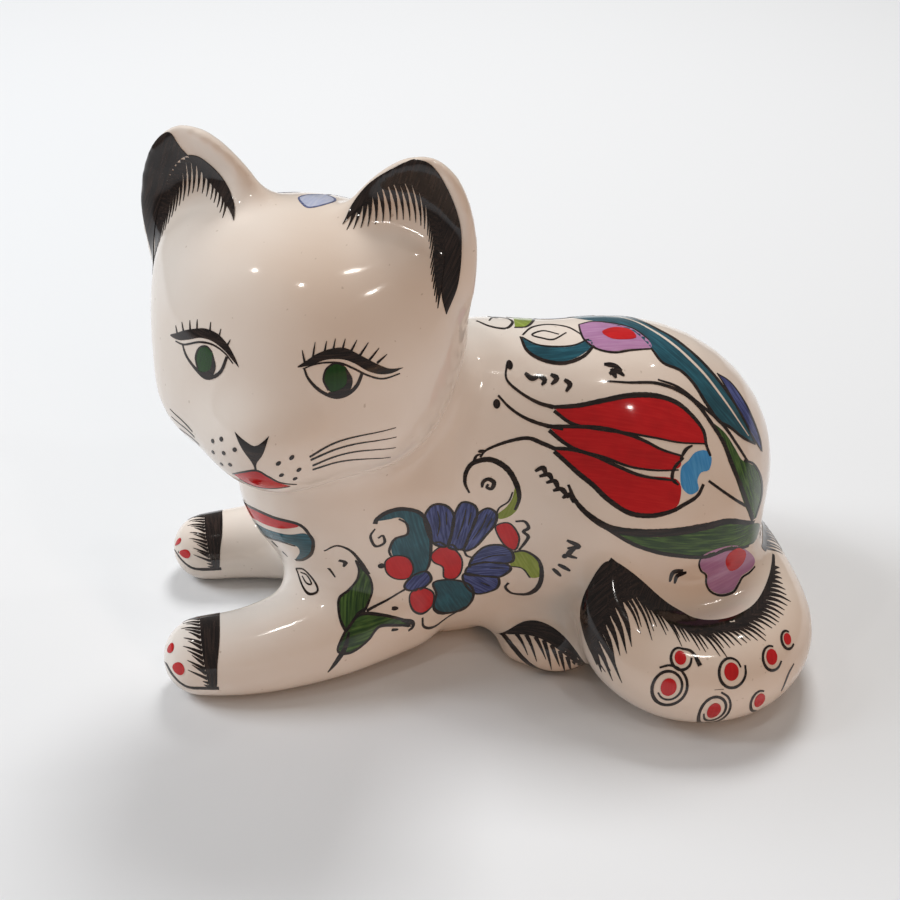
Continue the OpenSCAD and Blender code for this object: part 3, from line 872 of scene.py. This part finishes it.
def foreleg_leaves(chart, side):
    leaves = [
        [(-36.2, 62.5), (-34.5, 66.5), (-32.6, 70.6), (-32, 75.8), (-33.6, 79.2), (-36, 80),
            (-39.2, 81.8), (-39.2, 81.8), (-40.6, 79.8), (-40.4, 77.8), (-37.8, 75.6), (-35.8, 71.9),
            (-35.4, 67)],
        [(-35.1, 80), (-29.5, 81.2), (-24.4, 83.6), (-22.2, 86), (-22.2, 86), (-25, 84.6), (-30.4, 83),
            (-33.6, 84.8), (-38, 86), (-41.4, 84.8), (-40.2, 82.6), (-38.2, 81.2)]]
    sheets = [patch(chart, leaf, lift=LEAF_LIFT, grid=FINE_GRID) for leaf in leaves]
    paint(side + "_foreleg_leaves", "green", sheets)
    paint(side + "_foreleg_lines", "black_line", [
        stroke(chart, (0.5, 0.6, 0.5), leaves[0], closed=True),
        stroke(chart, (0.5, 0.6, 0.5), leaves[1], closed=True),
        stroke(chart, (0.4, 0.8, 1.1), [(-44, 58.6), (-41, 55.9), (-37.6, 58), (-35, 63.2), (-33, 69)]),
        stroke(chart, (0.5, 1.3, 0.3), [(-38.4, 82), (-39.6, 84.6), (-42, 87.2), (-44, 89.4)]),
        stroke(chart, (0.6, 1.0, 0.5), [(-24.6, 83.6), (-21.8, 85.2), (-21.6, 86.6), (-22.8, 87)]),
        stroke(chart, (1.0, 1.2, 0.4), [(-40.4, 62.8), (-38.8, 63.6), (-39.2, 66)]),
        stroke(chart, (0.8, 0.6, 0.4), [(-42.8, 68), (-41.2, 72)]),
        stroke(chart, (0.5, 0.8, 0.3), [(-27.1, 80.6), (-25.4, 81)]),
        stroke(chart, (0.5, 0.6, 0.3), [(-27.3, 84.8), (-25.5, 85.4)])])


shoulder = barrel_chart(BODY_AXIS, -FORWARD, UPWARD, BODY_ROUND, 75)
for chart, side in ((shoulder, "left"), (far(shoulder), "right")):
    carnation(chart, side)
    foreleg_leaves(chart, side)

# ---------------------------------------------------------------------------
# The chest.
# A teal flower with a red heart sits under the chin and hooks round towards the left
# shoulder, with a small outlined leaf below it; the same hangs down on the other side.
# ---------------------------------------------------------------------------
chest_column = barrel_chart(Vector((-36, -4, 0)), UPWARD, FORWARD, 25, 60)


def chest(round_, height):
    return chest_column(height, round_)


CHEST_TEAL = [(-4, 37), (4, 38), (11, 41), (18, 43), (24, 44.6), (28, 46.4), (29.4, 43.6), (28.4, 39),
    (25.6, 35.6), (23.4, 34.2), (25.6, 38.4), (25, 41), (20, 40.4), (13, 37.6), (4, 34), (-4, 33)]
CHEST_RED = [(-6, 38.5), (4, 42.5), (14, 47.2), (20, 48.2), (26.6, 48.6), (22, 45.8), (14, 43.6), (5, 40)]
for way in (1, -1):
    side = "left" if way > 0 else "right"

    def chart(round_, height, way=way):
        return chest(way * round_, height)
    paint(side + "_chest_teal", "teal", [patch(chart, CHEST_TEAL)])
    paint(side + "_chest_red", "red", [patch(chart, CHEST_RED, lift=RED_LIFT)])
    paint(side + "_chest_lines", "black_line", [
        stroke(chart, (0.5, 0.8, 0.7), [(-6, 39), (4, 43), (14, 47.5), (20, 48.6), (26.6, 49), (29, 46),
            (29.6, 43.4), (28.6, 39), (25.8, 35.4), (23.2, 34)]),
        stroke(chart, (0.5, 0.7, 0.4), [(-4, 33), (4, 33.8), (13, 37.4), (20, 40.2), (25, 40.8)]),
        stroke(chart, (0.4, 0.5, 0.4), [(22.8, 30.6), (25.4, 31.5), (28.3, 29.6), (29.9, 27.3),
            (27.8, 26.3), (25, 27.8), (22.8, 30.6)]),
        stroke(chart, (0.3, 0.4, 0.3), [(24.4, 30.2), (26.4, 30.2), (28, 28.4), (26.6, 28.2),
            (25, 29.4)]),
        stroke(chart, (0.5, 0.9, 0.4), [(17, 38), (18.4, 36.4)]),
        stroke(chart, (0.4, 0.7, 0.3), [(19.4, 35.2), (20.4, 33.6)])])

# ---------------------------------------------------------------------------
# The eyes.
# Green irises under heavy black lids with short lashes, a fine second line below the lid
# and a rounded lower lid; the right eye is a little smaller, as the painter left it.
# ---------------------------------------------------------------------------
HEAD_MIDDLE = Vector((-45.6, -12, 93.4))
HEAD_TURN = math.radians(67)
FACE_WAY = Vector((-math.cos(HEAD_TURN), -math.sin(HEAD_TURN), 0))
CHEEK_WAY = Vector((math.sin(HEAD_TURN), -math.cos(HEAD_TURN), 0))     # towards the cat's left
HEAD_ROUND, HEAD_REACH = 36, 60


def round_chart(centre, ahead, left, radius, reach):
    """Millimetres across and up on a ball-like form, seen from the way ahead."""
    up = ahead.cross(left)

    def chart(across, rise):
        level = math.cos(across / radius) * ahead + math.sin(across / radius) * left
        out = math.cos(rise / radius) * level + math.sin(rise / radius) * up
        return centre + out * reach, -out
    return chart


face = round_chart(HEAD_MIDDLE, FACE_WAY, CHEEK_WAY, HEAD_ROUND, HEAD_REACH)
COLOURS["iris_green"] = colour_material("iris green", (0.006, 0.045, 0.003, 1), (0.02, 0.09, 0.008, 1), 0.25)
LEFT_EYE = {
    "lid": [(9, 8.2), (11.4, 10), (14.4, 11.8), (18, 12.8), (21.6, 12.6), (25.4, 10.2), (29, 7.6),
        (32, 5.8), (35.4, 5.2), (35.4, 5.2), (32.4, 4.6), (29.2, 5), (26.3, 6.4), (23.3, 8.7), (20.2, 10),
        (16.3, 10.1), (12.6, 8.9)],
    "under": [(10.4, 7.8), (13, 8.9), (16.2, 9.4), (20, 9), (23.2, 7.3), (26.4, 5.2), (30, 3.7),
        (34.4, 4)],
    "lower": [(10.8, 7.8), (11.6, 5.6), (13.6, 3.1), (16, 1.3), (18.6, 0.4), (21.2, 1), (23.6, 3),
        (25.2, 6.2)],
    "iris": (18.8, 5.2), "iris_wide": 6.6, "iris_tall": 7.8,
    "lashes": [((10.9, 9.4), (10.2, 12.6)), ((13, 10.8), (13.7, 14.6)), ((16, 11.8), (16.8, 14.8)),
               ((18.2, 12), (19.2, 15.2)), ((20.6, 12), (21.8, 14.9)), ((22.8, 11.6), (24.8, 14.2)),
               ((25, 10.4), (27.6, 13.1)), ((27.2, 8.9), (30.1, 11.3)), ((29, 7.8), (31.8, 9.4))]}
RIGHT_EYE = {
    "lid": [(-30.6, 6), (-28, 7.8), (-25.4, 9.6), (-22, 11.4), (-18.6, 12.7), (-14.4, 12.7),
        (-10.7, 10.9), (-8, 8.2), (-6.6, 6), (-6.6, 6), (-8.6, 7.4), (-11.4, 9.2), (-15.4, 10.4),
        (-19.4, 10), (-23.4, 8), (-27, 6.4)],
    "under": [(-28, 5.6), (-24.6, 6.2), (-19.6, 8.8), (-15.2, 9.6), (-11.2, 8.6), (-8.4, 6.6)],
    "lower": [(-25.2, 6), (-23.4, 3.8), (-20.4, 2), (-16.8, 0.6), (-14, 1.4), (-11.6, 3.8), (-10.4, 7.8)],
    "iris": (-17, 4.8), "iris_wide": 6.2, "iris_tall": 7.6,
    "lashes": [((-27.8, 7.6), (-29.2, 9.2)), ((-25.6, 9), (-27.2, 11)), ((-23.4, 10.2), (-24.6, 12.6)),
               ((-21.2, 11.2), (-22.2, 13.8)), ((-16.8, 11.8), (-17.6, 14.8)),
               ((-13.8, 11.4), (-13.8, 14.2)), ((-11, 10.2), (-10.2, 12.4))]}
PUPIL = [(0.36, 0.3), (0.58, -0.05), (0.44, -0.44), (0, -0.6), (-0.34, -0.46), (0, -0.4), (0.3, -0.24),
    (0.38, 0)]                           # a crescent, in shares of the iris


def eye(form, side):
    x, y = form["iris"]
    wide, tall = form["iris_wide"], form["iris_tall"]
    paint(side + "_iris", "green", [dot(face, (x, y), wide, tall, lift=COLOUR_LIFT)], "iris_green")
    black = [patch(face, form["lid"], 0, LINE_LIFT)]
    black += [stroke(face, (0.3, 0.5, 0.3), form["under"]), stroke(face, (0.5, 0.9, 0.8), form["lower"])]
    black += [stroke(face, (0.6, 0.45, 0.15), [base, tip]) for base, tip in form["lashes"]]
    pupil = [(x + a * wide, y + b * tall) for a, b in PUPIL]
    black.append(patch(face, pupil, 0, DOT_LIFT, 0.6, 0.4))
    ring = [(x + 0.5 * wide * math.cos(a), y + 0.5 * tall * math.sin(a)) for a in (0.9, 1.6, 2.4, 3.2, 4.0)]
    black.append(stroke(face, (0.3, 0.45, 0.5), ring))
    paint(side + "_eye_lines", "black_line", black)


eye(LEFT_EYE, "left")
eye(RIGHT_EYE, "right")

# ---------------------------------------------------------------------------
# The nose, mouth, whiskers and freckles.
# A forked black nose runs down to a red mouth; three or four fine whiskers fan out on each
# cheek, behind small black freckles.
# ---------------------------------------------------------------------------
paint("mouth", "red", [
    patch(face, [(-6.6, -18.6), (-6.6, -18.6), (-3.6, -16.6), (0.2, -14.8), (2.6, -16.6), (5, -19),
        (7, -20.4), (7, -20.4), (3.4, -21.2), (-0.8, -21.8), (-4, -20.6)], 0)])
face_lines = [
    patch(face, [(-4.4, -6.8), (-4.4, -6.8), (-2, -7.8), (0.3, -8.6), (1.8, -7.8), (3.3, -6.5),
        (3.3, -6.5), (2.2, -10), (0.7, -12.4), (0.2, -14.4), (0.2, -14.4), (-0.5, -12.2),
        (-2.4, -9.6)], 0, LINE_LIFT),
    stroke(face, (0.6, 0.5, 0.5), [(0.2, -12.6), (0.2, -14.8)]),
    stroke(face, (0.3, 0.5, 0.3), [(-6.8, -18.8), (-3.6, -16.4), (0.2, -14.6), (2.6, -16.2), (5, -18.6),
        (8.6, -20.2)]),
    stroke(face, (0.3, 0.5, 0.3), [(-5.4, -20), (-2, -21.8), (2, -21.8), (7, -20.7)])]
WHISKERS = [
    [(11.8, -12.2), (17, -10.6), (24, -9.6), (32.6, -9)],
    [(12, -13), (18, -12), (25, -11.4), (32.8, -11.4)],
    [(12.4, -14.6), (18, -13.8), (25, -13.6), (33, -14.4)],
    [(12.4, -15.8), (18, -15.6), (25, -16.2), (32.4, -17.4)],
    [(-20.2, -14.4), (-24, -13.4), (-29.4, -12.4)],
    [(-20, -15.8), (-24.6, -15.2), (-30, -14.8)],
    [(-19, -17.6), (-24, -17.6), (-28.6, -17.8)]]
face_lines += [stroke(face, (0.5, 0.35, 0.15), w) for w in WHISKERS]
FRECKLES = [(-10.8, -11.5), (-7.9, -9.6), (-11.3, -14.6), (-7.4, -12.6), (-4.2, -10.4), (-9.4, -17),
    (-6.2, -15.2), (5.2, -12.4), (8, -11.4), (5.6, -15.8), (9.4, -14.9), (8.4, -17.6)]
face_lines += [dot(face, spot, 0.9, 1.3, turn=-0.8) for spot in FRECKLES]
paint("face_lines", "black_line", face_lines)

# ---------------------------------------------------------------------------
# The ears.
# The hollow of each ear is filled with black from its tip, drawn down into the ear in fine
# hairs; the thick rim stays ivory.
# ---------------------------------------------------------------------------
EAR_LIFT, EAR_GRID = 0.25, 0.45


def ear_front(across, rise):
    """Millimetres across and up from the middle of the head, straight on to the front of the ears."""
    return HEAD_MIDDLE + CHEEK_WAY * across + UPWARD * rise + FACE_WAY * 40, -FACE_WAY


def between(points, count):
    """Even places along a line of points."""
    line = curve(points, 0.2)
    return [tuple(line[round(i * (len(line) - 1) / (count - 1))]) for i in range(count)]


def hairs(chart, roots, tips, width, bend=0.0):
    """Fine strokes from each root to its tip, thick at the root and running out at the tip."""
    pulls = []
    for (x0, y0), (x1, y1) in zip(roots, tips):
        middle = ((x0 + x1) / 2 - bend * (y1 - y0), (y0 + y1) / 2 + bend * (x1 - x0))
        pulls.append(stroke(chart, (width, 0.6 * width, 0.12), [(x0, y0), middle, (x1, y1)]))
    return pulls


def ear(outline, roots, tips, side):
    sheets = [patch(ear_front, outline, 70, EAR_LIFT, EAR_GRID, EAR_GRID)]
    sheets += hairs(ear_front, roots, tips, 1.3)
    paint(side + "_ear_black", "black_line", sheets)


ear([(9.6, 30.4), (9.6, 30.4), (10.6, 33.6), (14, 38.4), (19.5, 43), (24.5, 45.6), (28.6, 44.8),
    (32.2, 40.2), (35, 33.5), (36.2, 27), (36.2, 18.5), (35.2, 13.5), (35.2, 13.5), (33.6, 19),
    (32.6, 26), (30, 33), (26, 38), (21.5, 39.5), (16, 37), (12.5, 33.4)],
    between([(11.6, 33.4), (16, 38), (21, 40.5), (26, 39.5), (30, 34), (33, 27)], 24),
    between([(11, 29.8), (14, 30), (18, 30.6), (22, 31), (25.4, 30.4), (28, 28.6), (30.6, 23.5),
        (33.6, 15.5)], 24), "left")
ear([(-33.6, 44.4), (-31, 40), (-26, 33.6), (-20.4, 30.6), (-15.4, 28.8), (-15.4, 28.8), (-19.6, 33),
    (-24, 36.6), (-28, 39), (-31.8, 38), (-35, 33.6), (-37.6, 26), (-38.6, 18), (-38.2, 10), (-38.2, 10),
    (-41, 17), (-42.2, 26), (-40.6, 35), (-37.4, 41.6)],
    between([(-20.4, 32), (-24.5, 36), (-28.5, 38.4), (-32.4, 37), (-36, 31.6), (-38.6, 24)], 22),
    between([(-18.6, 28.6), (-22, 29.4), (-25.6, 30), (-29, 30), (-32.6, 26.4), (-35.4, 20),
        (-37.4, 14)], 22), "right")

# ---------------------------------------------------------------------------
# The crown, behind the ears.
# A scrolled blossom, washed in pale blue and drawn in faint blue lines with lilac petals and
# red hearts, covers the back of the head.
# ---------------------------------------------------------------------------
NAPE_TILT = math.radians(50)
back_of_head = round_chart(HEAD_MIDDLE, math.sin(NAPE_TILT) * UPWARD - math.cos(NAPE_TILT) * FACE_WAY,
                           CHEEK_WAY, HEAD_ROUND, HEAD_REACH)
COLOURS["pale_blue"] = colour_material("pale blue wash", (0.42, 0.46, 0.62, 1), (0.62, 0.62, 0.66, 1), 0.6)
COLOURS["faint_blue"] = colour_material("faint blue line", (0.06, 0.08, 0.20, 1), (0.24, 0.27, 0.42, 1), 0.8)
paint("crown_wash", "sky_blue", [
    patch(back_of_head, [(-13, 8), (-8, 13.5), (0, 15.5), (8, 13.5), (13, 8), (8, 9.6), (0, 11.6),
        (-8, 9.6)]),
    patch(back_of_head, [(-4, -14), (0, -11.6), (4, -14), (5, -19), (0, -24), (-5, -19)])], "pale_blue")
CROWN_PETAL = [(9, -1), (14, 2), (18, -2), (17, -8), (12, -10), (9, -6)]
CROWN_RIM = [(9, -1), (14, 2.2), (18.3, -2), (17.3, -8.2), (12, -10.3), (8.8, -6), (9, -1)]
paint("crown_lilac", "lilac", [
    patch(back_of_head, [(sx * x, y) for x, y in CROWN_PETAL]) for sx in (-1, 1)])
paint("crown_heart", "red", [dot(back_of_head, (sx * 13, -4), 4.4, 5.6) for sx in (-1, 1)]
      + [dot(back_of_head, (0, 1), 4.6, 4.6)])
crown_lines = [
    stroke(back_of_head, (0.4, 1.0, 0.4), [(-13, 8), (-8, 13.8), (0, 15.9), (8, 13.8), (13, 8)]),
    stroke(back_of_head, (0.4, 0.5, 0.4), [(-13, 8), (-8, 9.4), (0, 11.3), (8, 9.4), (13, 8)]),
    stroke(back_of_head, (0.5, 0.7, 0.5), [(-4, -14), (0, -11.3), (4, -14), (5.2, -19), (0, -24.4),
        (-5.2, -19), (-4, -14)]),
    stroke(back_of_head, (0.5, 0.6, 0.5), [(0, -11.6), (0.4, -8), (0, -4.6)])]
for sx in (-1, 1):
    rim = [(sx * x, y) for x, y in CROWN_RIM]
    crown_lines.append(stroke(back_of_head, (0.5, 0.6, 0.5), rim))
scroll = []
for k in range(12):
    turn, away = 0.62 * k, 2.2 + 0.62 * k
    scroll.append((away * math.cos(turn), 1 + away * 0.72 * math.sin(turn)))
crown_lines.append(stroke(back_of_head, (0.4, 0.7, 0.4), scroll))
paint("crown_lines", "blue", crown_lines, "faint_blue")

# ---------------------------------------------------------------------------
# The paws.
# Each forepaw has a black band drawn out in hairs towards the toes, a black sole line and
# two red toe spots; the hind feet carry a black-haired leaf.
# ---------------------------------------------------------------------------
PAW_ROUND, FOOT_ROUND, LOW_REACH = 10, 9, 30
left_paw = barrel_chart(Vector((0, -29.5, 9)), -FORWARD, UPWARD, PAW_ROUND, LOW_REACH)
right_paw = barrel_chart(Vector((0, 18, 9)), -FORWARD, UPWARD, PAW_ROUND, LOW_REACH)
left_foot = barrel_chart(Vector((0, -27, 8)), -FORWARD, UPWARD, FOOT_ROUND, LOW_REACH)
right_foot = barrel_chart(Vector((0, 27, 8)), -FORWARD, UPWARD, FOOT_ROUND, LOW_REACH)
PAW_ROWS = [                             # the black band's two edges, and the sole line
    [(-71, -10), (-70.6, -2), (-70.8, 5), (-71.6, 10.6), (-72.2, 17.4)],
    [(-75.4, -9), (-75.6, -2), (-75.4, 5), (-74.8, 11), (-73.8, 17)],
    [(-71.6, 17.6), (-76, 17.8), (-80, 18), (-83, 15.6), (-84.8, 11)]]


def forepaw(chart, shift, side):
    band, inner, sole = [[(x + shift, y) for x, y in row] for row in PAW_ROWS]
    black = [patch(chart, band + inner[::-1], 90, LINE_LIFT)]
    roots = between(inner, 21)
    tips = [(x - 3 - 0.45 * (3 * i % 5), y - 2.4) for i, (x, y) in enumerate(roots)]
    black += hairs(chart, roots, tips[:-2] + [(x - 1.5, y - 0.6) for x, y in roots[-2:]], 0.95)
    black.append(stroke(chart, (1.2, 1.1, 0.6), sole))
    paint(side + "_paw_black", "black_line", black)
    paint(side + "_paw_red", "red", [dot(chart, (-81.4 + shift, 12), 3, 4.2),
                                     dot(chart, (-83.2 + shift, 4.4), 1.8, 4)])


forepaw(left_paw, 0, "left")
forepaw(right_paw, 1.6, "right")


def hind_paw(chart, side):
    top = [(2.6, 8), (6.5, 4.4), (10, 4.6), (14.5, 7), (18.5, 10.2), (22.4, 13.8), (25.6, 18)]
    low = [(2.6, 8), (4.6, 14), (9, 18.6), (15, 20.6), (21, 19.8), (25.6, 18)]
    inner = [(4.4, 9), (8, 9), (12, 10), (16, 12), (20, 14.4), (23.4, 17)]
    black = [patch(chart, top + inner[::-1], 20, LINE_LIFT), stroke(chart, (1.4, 1.9, 0.8), low)]
    roots = between(inner, 11)[1:]
    tips = [(x + 2.4, y + 6.4 + 1.4 * math.sin(2.6 * i)) for i, (x, y) in enumerate(roots)]
    black += hairs(chart, roots, tips[:-3] + [(x + 0.8, y + 1.6) for x, y in roots[-3:]], 1.1)
    paint(side + "_hind_paw_black", "black_line", black)


hind_paw(left_foot, "left")
hind_paw(far(right_foot), "right")

# ---------------------------------------------------------------------------
# The tail.
# Black fills the tip and the fold where the tail lies on the haunch, and is drawn out in
# hairs over the tail; red spots in black rings run round it below.
# ---------------------------------------------------------------------------
TAIL_ROUND = 13
TAIL_ROUTE = [(57, 16, 17.5), (70, 4, 14.5), (72, -15, 13), (70, -38, 13), (59, -50, 13), (45, -51, 13),
              (34, -47, 17.5), (28, -43, 25), (27, -40, 32.5), (27, -37, 38.5)]
tail_line = [Vector(p) for p in curve(TAIL_ROUTE, 2.5)]
tail_run = [0.0]
for here, there in zip(tail_line, tail_line[1:]):
    tail_run.append(tail_run[-1] + (there - here).length)


def tail(run, girth):
    """Millimetres along the tail from its root, and round it from its top; minus is the outside."""
    number = max(i for i in range(len(tail_run) - 1) if tail_run[i] <= max(run, 0))
    share = (run - tail_run[number]) / (tail_run[number + 1] - tail_run[number])
    place = tail_line[number].lerp(tail_line[number + 1], share)
    ways = [(tail_line[min(i + 1, len(tail_line) - 1)] - tail_line[max(i - 1, 0)]).normalized()
            for i in (number, number + 1)]
    along = ways[0].lerp(ways[1], share).normalized()
    side = along.cross(UPWARD).normalized()
    out = math.cos(girth / TAIL_ROUND) * side.cross(along) + math.sin(girth / TAIL_ROUND) * side
    return place, out


tail_side, tail_tip = looking(0, 35), looking(-40, 25)


def ringed_spot(chart, run, girth, size, turns, start):
    """A red spot, and the black line wound round it so many times."""
    line = []
    for k in range(round(12 * turns) + 1):
        angle = start + math.tau * k / 12
        away = size * (1.05 + 0.042 * k)
        line.append((run + away * math.cos(angle), girth + 1.15 * away * math.sin(angle)))
    return dot(chart, (run, girth), 1.5 * size, 1.8 * size), stroke(chart, (0.4, 0.75, 0.5), line)


TIP_BLACK = [(45.6, 30.2), (44.3, 28.1), (43.2, 23.4), (42.6, 19.1), (43, 15), (44.6, 12), (46.6, 9.2),
    (49.2, 6.4), (51, 4.4), (50.4, 9), (50.6, 13), (51.2, 16.2), (51.4, 19.4), (52.2, 21.4), (53.6, 22.6),
    (54.4, 24.4), (53, 27), (50.4, 29), (47.8, 30.4)]
BAND_TOP = [(26.4, 9.8), (28.4, 9.3), (31.9, 6.8), (35.7, 3.6), (39.3, 0.2), (42.2, -2.3), (45, -4.2),
    (47.5, -5.8), (50.8, -6.6), (54.9, -6.6), (58.9, -5.9), (63.5, -4.3), (67.1, -2.1), (70.7, 1.1),
    (74.3, 4.9), (77, 8)]
BAND_FOOT = [(25, -1), (27.2, -0.8), (28.8, 0.6), (30.5, 0.6), (32.7, 1.2), (35.2, -0.6), (37.5, -2.1),
    (40.1, -4.3), (42.6, -6), (45.1, -7.3), (47.8, -8), (50.6, -8.4), (53.6, -8.5), (57.3, -8.2),
    (61.6, -6.9), (65.7, -4.9), (69, -2.3), (72, 0.6), (75, 4), (77.2, 7)]
tail_black = [patch(tail_tip, TIP_BLACK, 60, LINE_LIFT),
              patch(tail_side, BAND_TOP + [(77.6, 7.6)] + BAND_FOOT[::-1], 60, LINE_LIFT)]
hair_roots = between([(p[0], p[1] + 0.5) for p in BAND_FOOT[2:-1]], 40)
hair_tips = between([(32.6, -9), (35.2, -10.4), (38.8, -10.8), (41.6, -11.6), (44.6, -13.4), (48, -14.8),
    (52.5, -15.4), (56.2, -14.6), (60.4, -13), (64, -12.2), (67.4, -10.2), (70.6, -8.6), (73, -7.2),
    (74.6, -4.6), (76, -1.8), (76.9, 1), (77.2, 4.4)], 40)
shares = [hand.uniform(0.68, 1.08) for _ in hair_roots]
hair_tips = [(x0 + (x1 - x0) * share, y0 + (y1 - y0) * share)
             for (x0, y0), (x1, y1), share in zip(hair_roots, hair_tips, shares)]
tail_black += hairs(tail_side, hair_roots, hair_tips, 1.15, 0.06)
tip_roots = [(49.4, 8.4), (49.6, 10.6), (49.8, 13), (50, 15.4), (50.2, 17.8), (50.6, 20), (51.2, 22)]
tip_ends = [(52.4, 3), (55.8, 2), (58.4, 2.6), (56, 7), (56.6, 9.6), (58, 10.6), (58.6, 12.6)]
tail_black += hairs(tail_tip, tip_roots, tip_ends, 1.8, 0.05)
tail_black += hairs(tail_tip, [(50, 6), (50.4, 8.6)], [(53.6, 3.6), (55, 4.6)], 0.8, 0.05)
tail_black.append(stroke(tail_side, (0.5, 0.8, 1.2), [(42, -12.6), (44.4, -13.6), (46, -17)]))
tail_black.append(stroke(tail_side, (0.4, 0.6, 0.3), [(69.2, -25.8), (70.6, -21.6), (72.6, -19)]))
tail_rear = looking(90, 30)
rear_crease = curve([(-24, -11.2), (-20, -12.8), (-16, -14.2), (-8, -17.2), (0, -18.7), (8, -19.7)], 2)
crease_foot = [(x, y - 2.2) for x, y in rear_crease[::-1]]
tail_black.append(patch(tail_rear, [tuple(p) for p in rear_crease] + crease_foot, 0, LINE_LIFT))
hair_roots = [(x, y - 1.9) for x, y in rear_crease[1:-1]]
hair_tips = [(x + 2.5, y - 6 - 2 * hand.random()) for x, y in hair_roots]
tail_black += hairs(tail_rear, hair_roots, hair_tips, 1.2, 0.05)
tail_red = []
for spot in ((41.3, -14.8, 1.9, 0.8, 1.0), (38.2, -21.9, 2.5, 1.75, 3.6), (50, -28.8, 2.3, 1.7, 3.4),
             (53.8, -19, 2.5, 1.0, 0.3), (65.3, -16.4, 2.2, 0.75, 1.2), (71, -12.6, 1.6, 0.75, 1.0),
             (62.2, -27.2, 2.1, 0.6, 1.2)):
    red_touch, ring = ringed_spot(tail_side, *spot)
    tail_red.append(red_touch)
    tail_black.append(ring)
for spot in ((32, -16, 2, 1.0, 0.9), (25, -23, 2.3, 1.5, 1.4),
             (18, -18, 2, 1.0, 0.6), (14, -22, 2.1, 1.0, 2.1)):
    red_touch, ring = ringed_spot(tail, *spot)
    tail_red.append(red_touch)
    tail_black.append(ring)
paint("tail_black", "black_line", tail_black)
paint("tail_red", "red", tail_red)
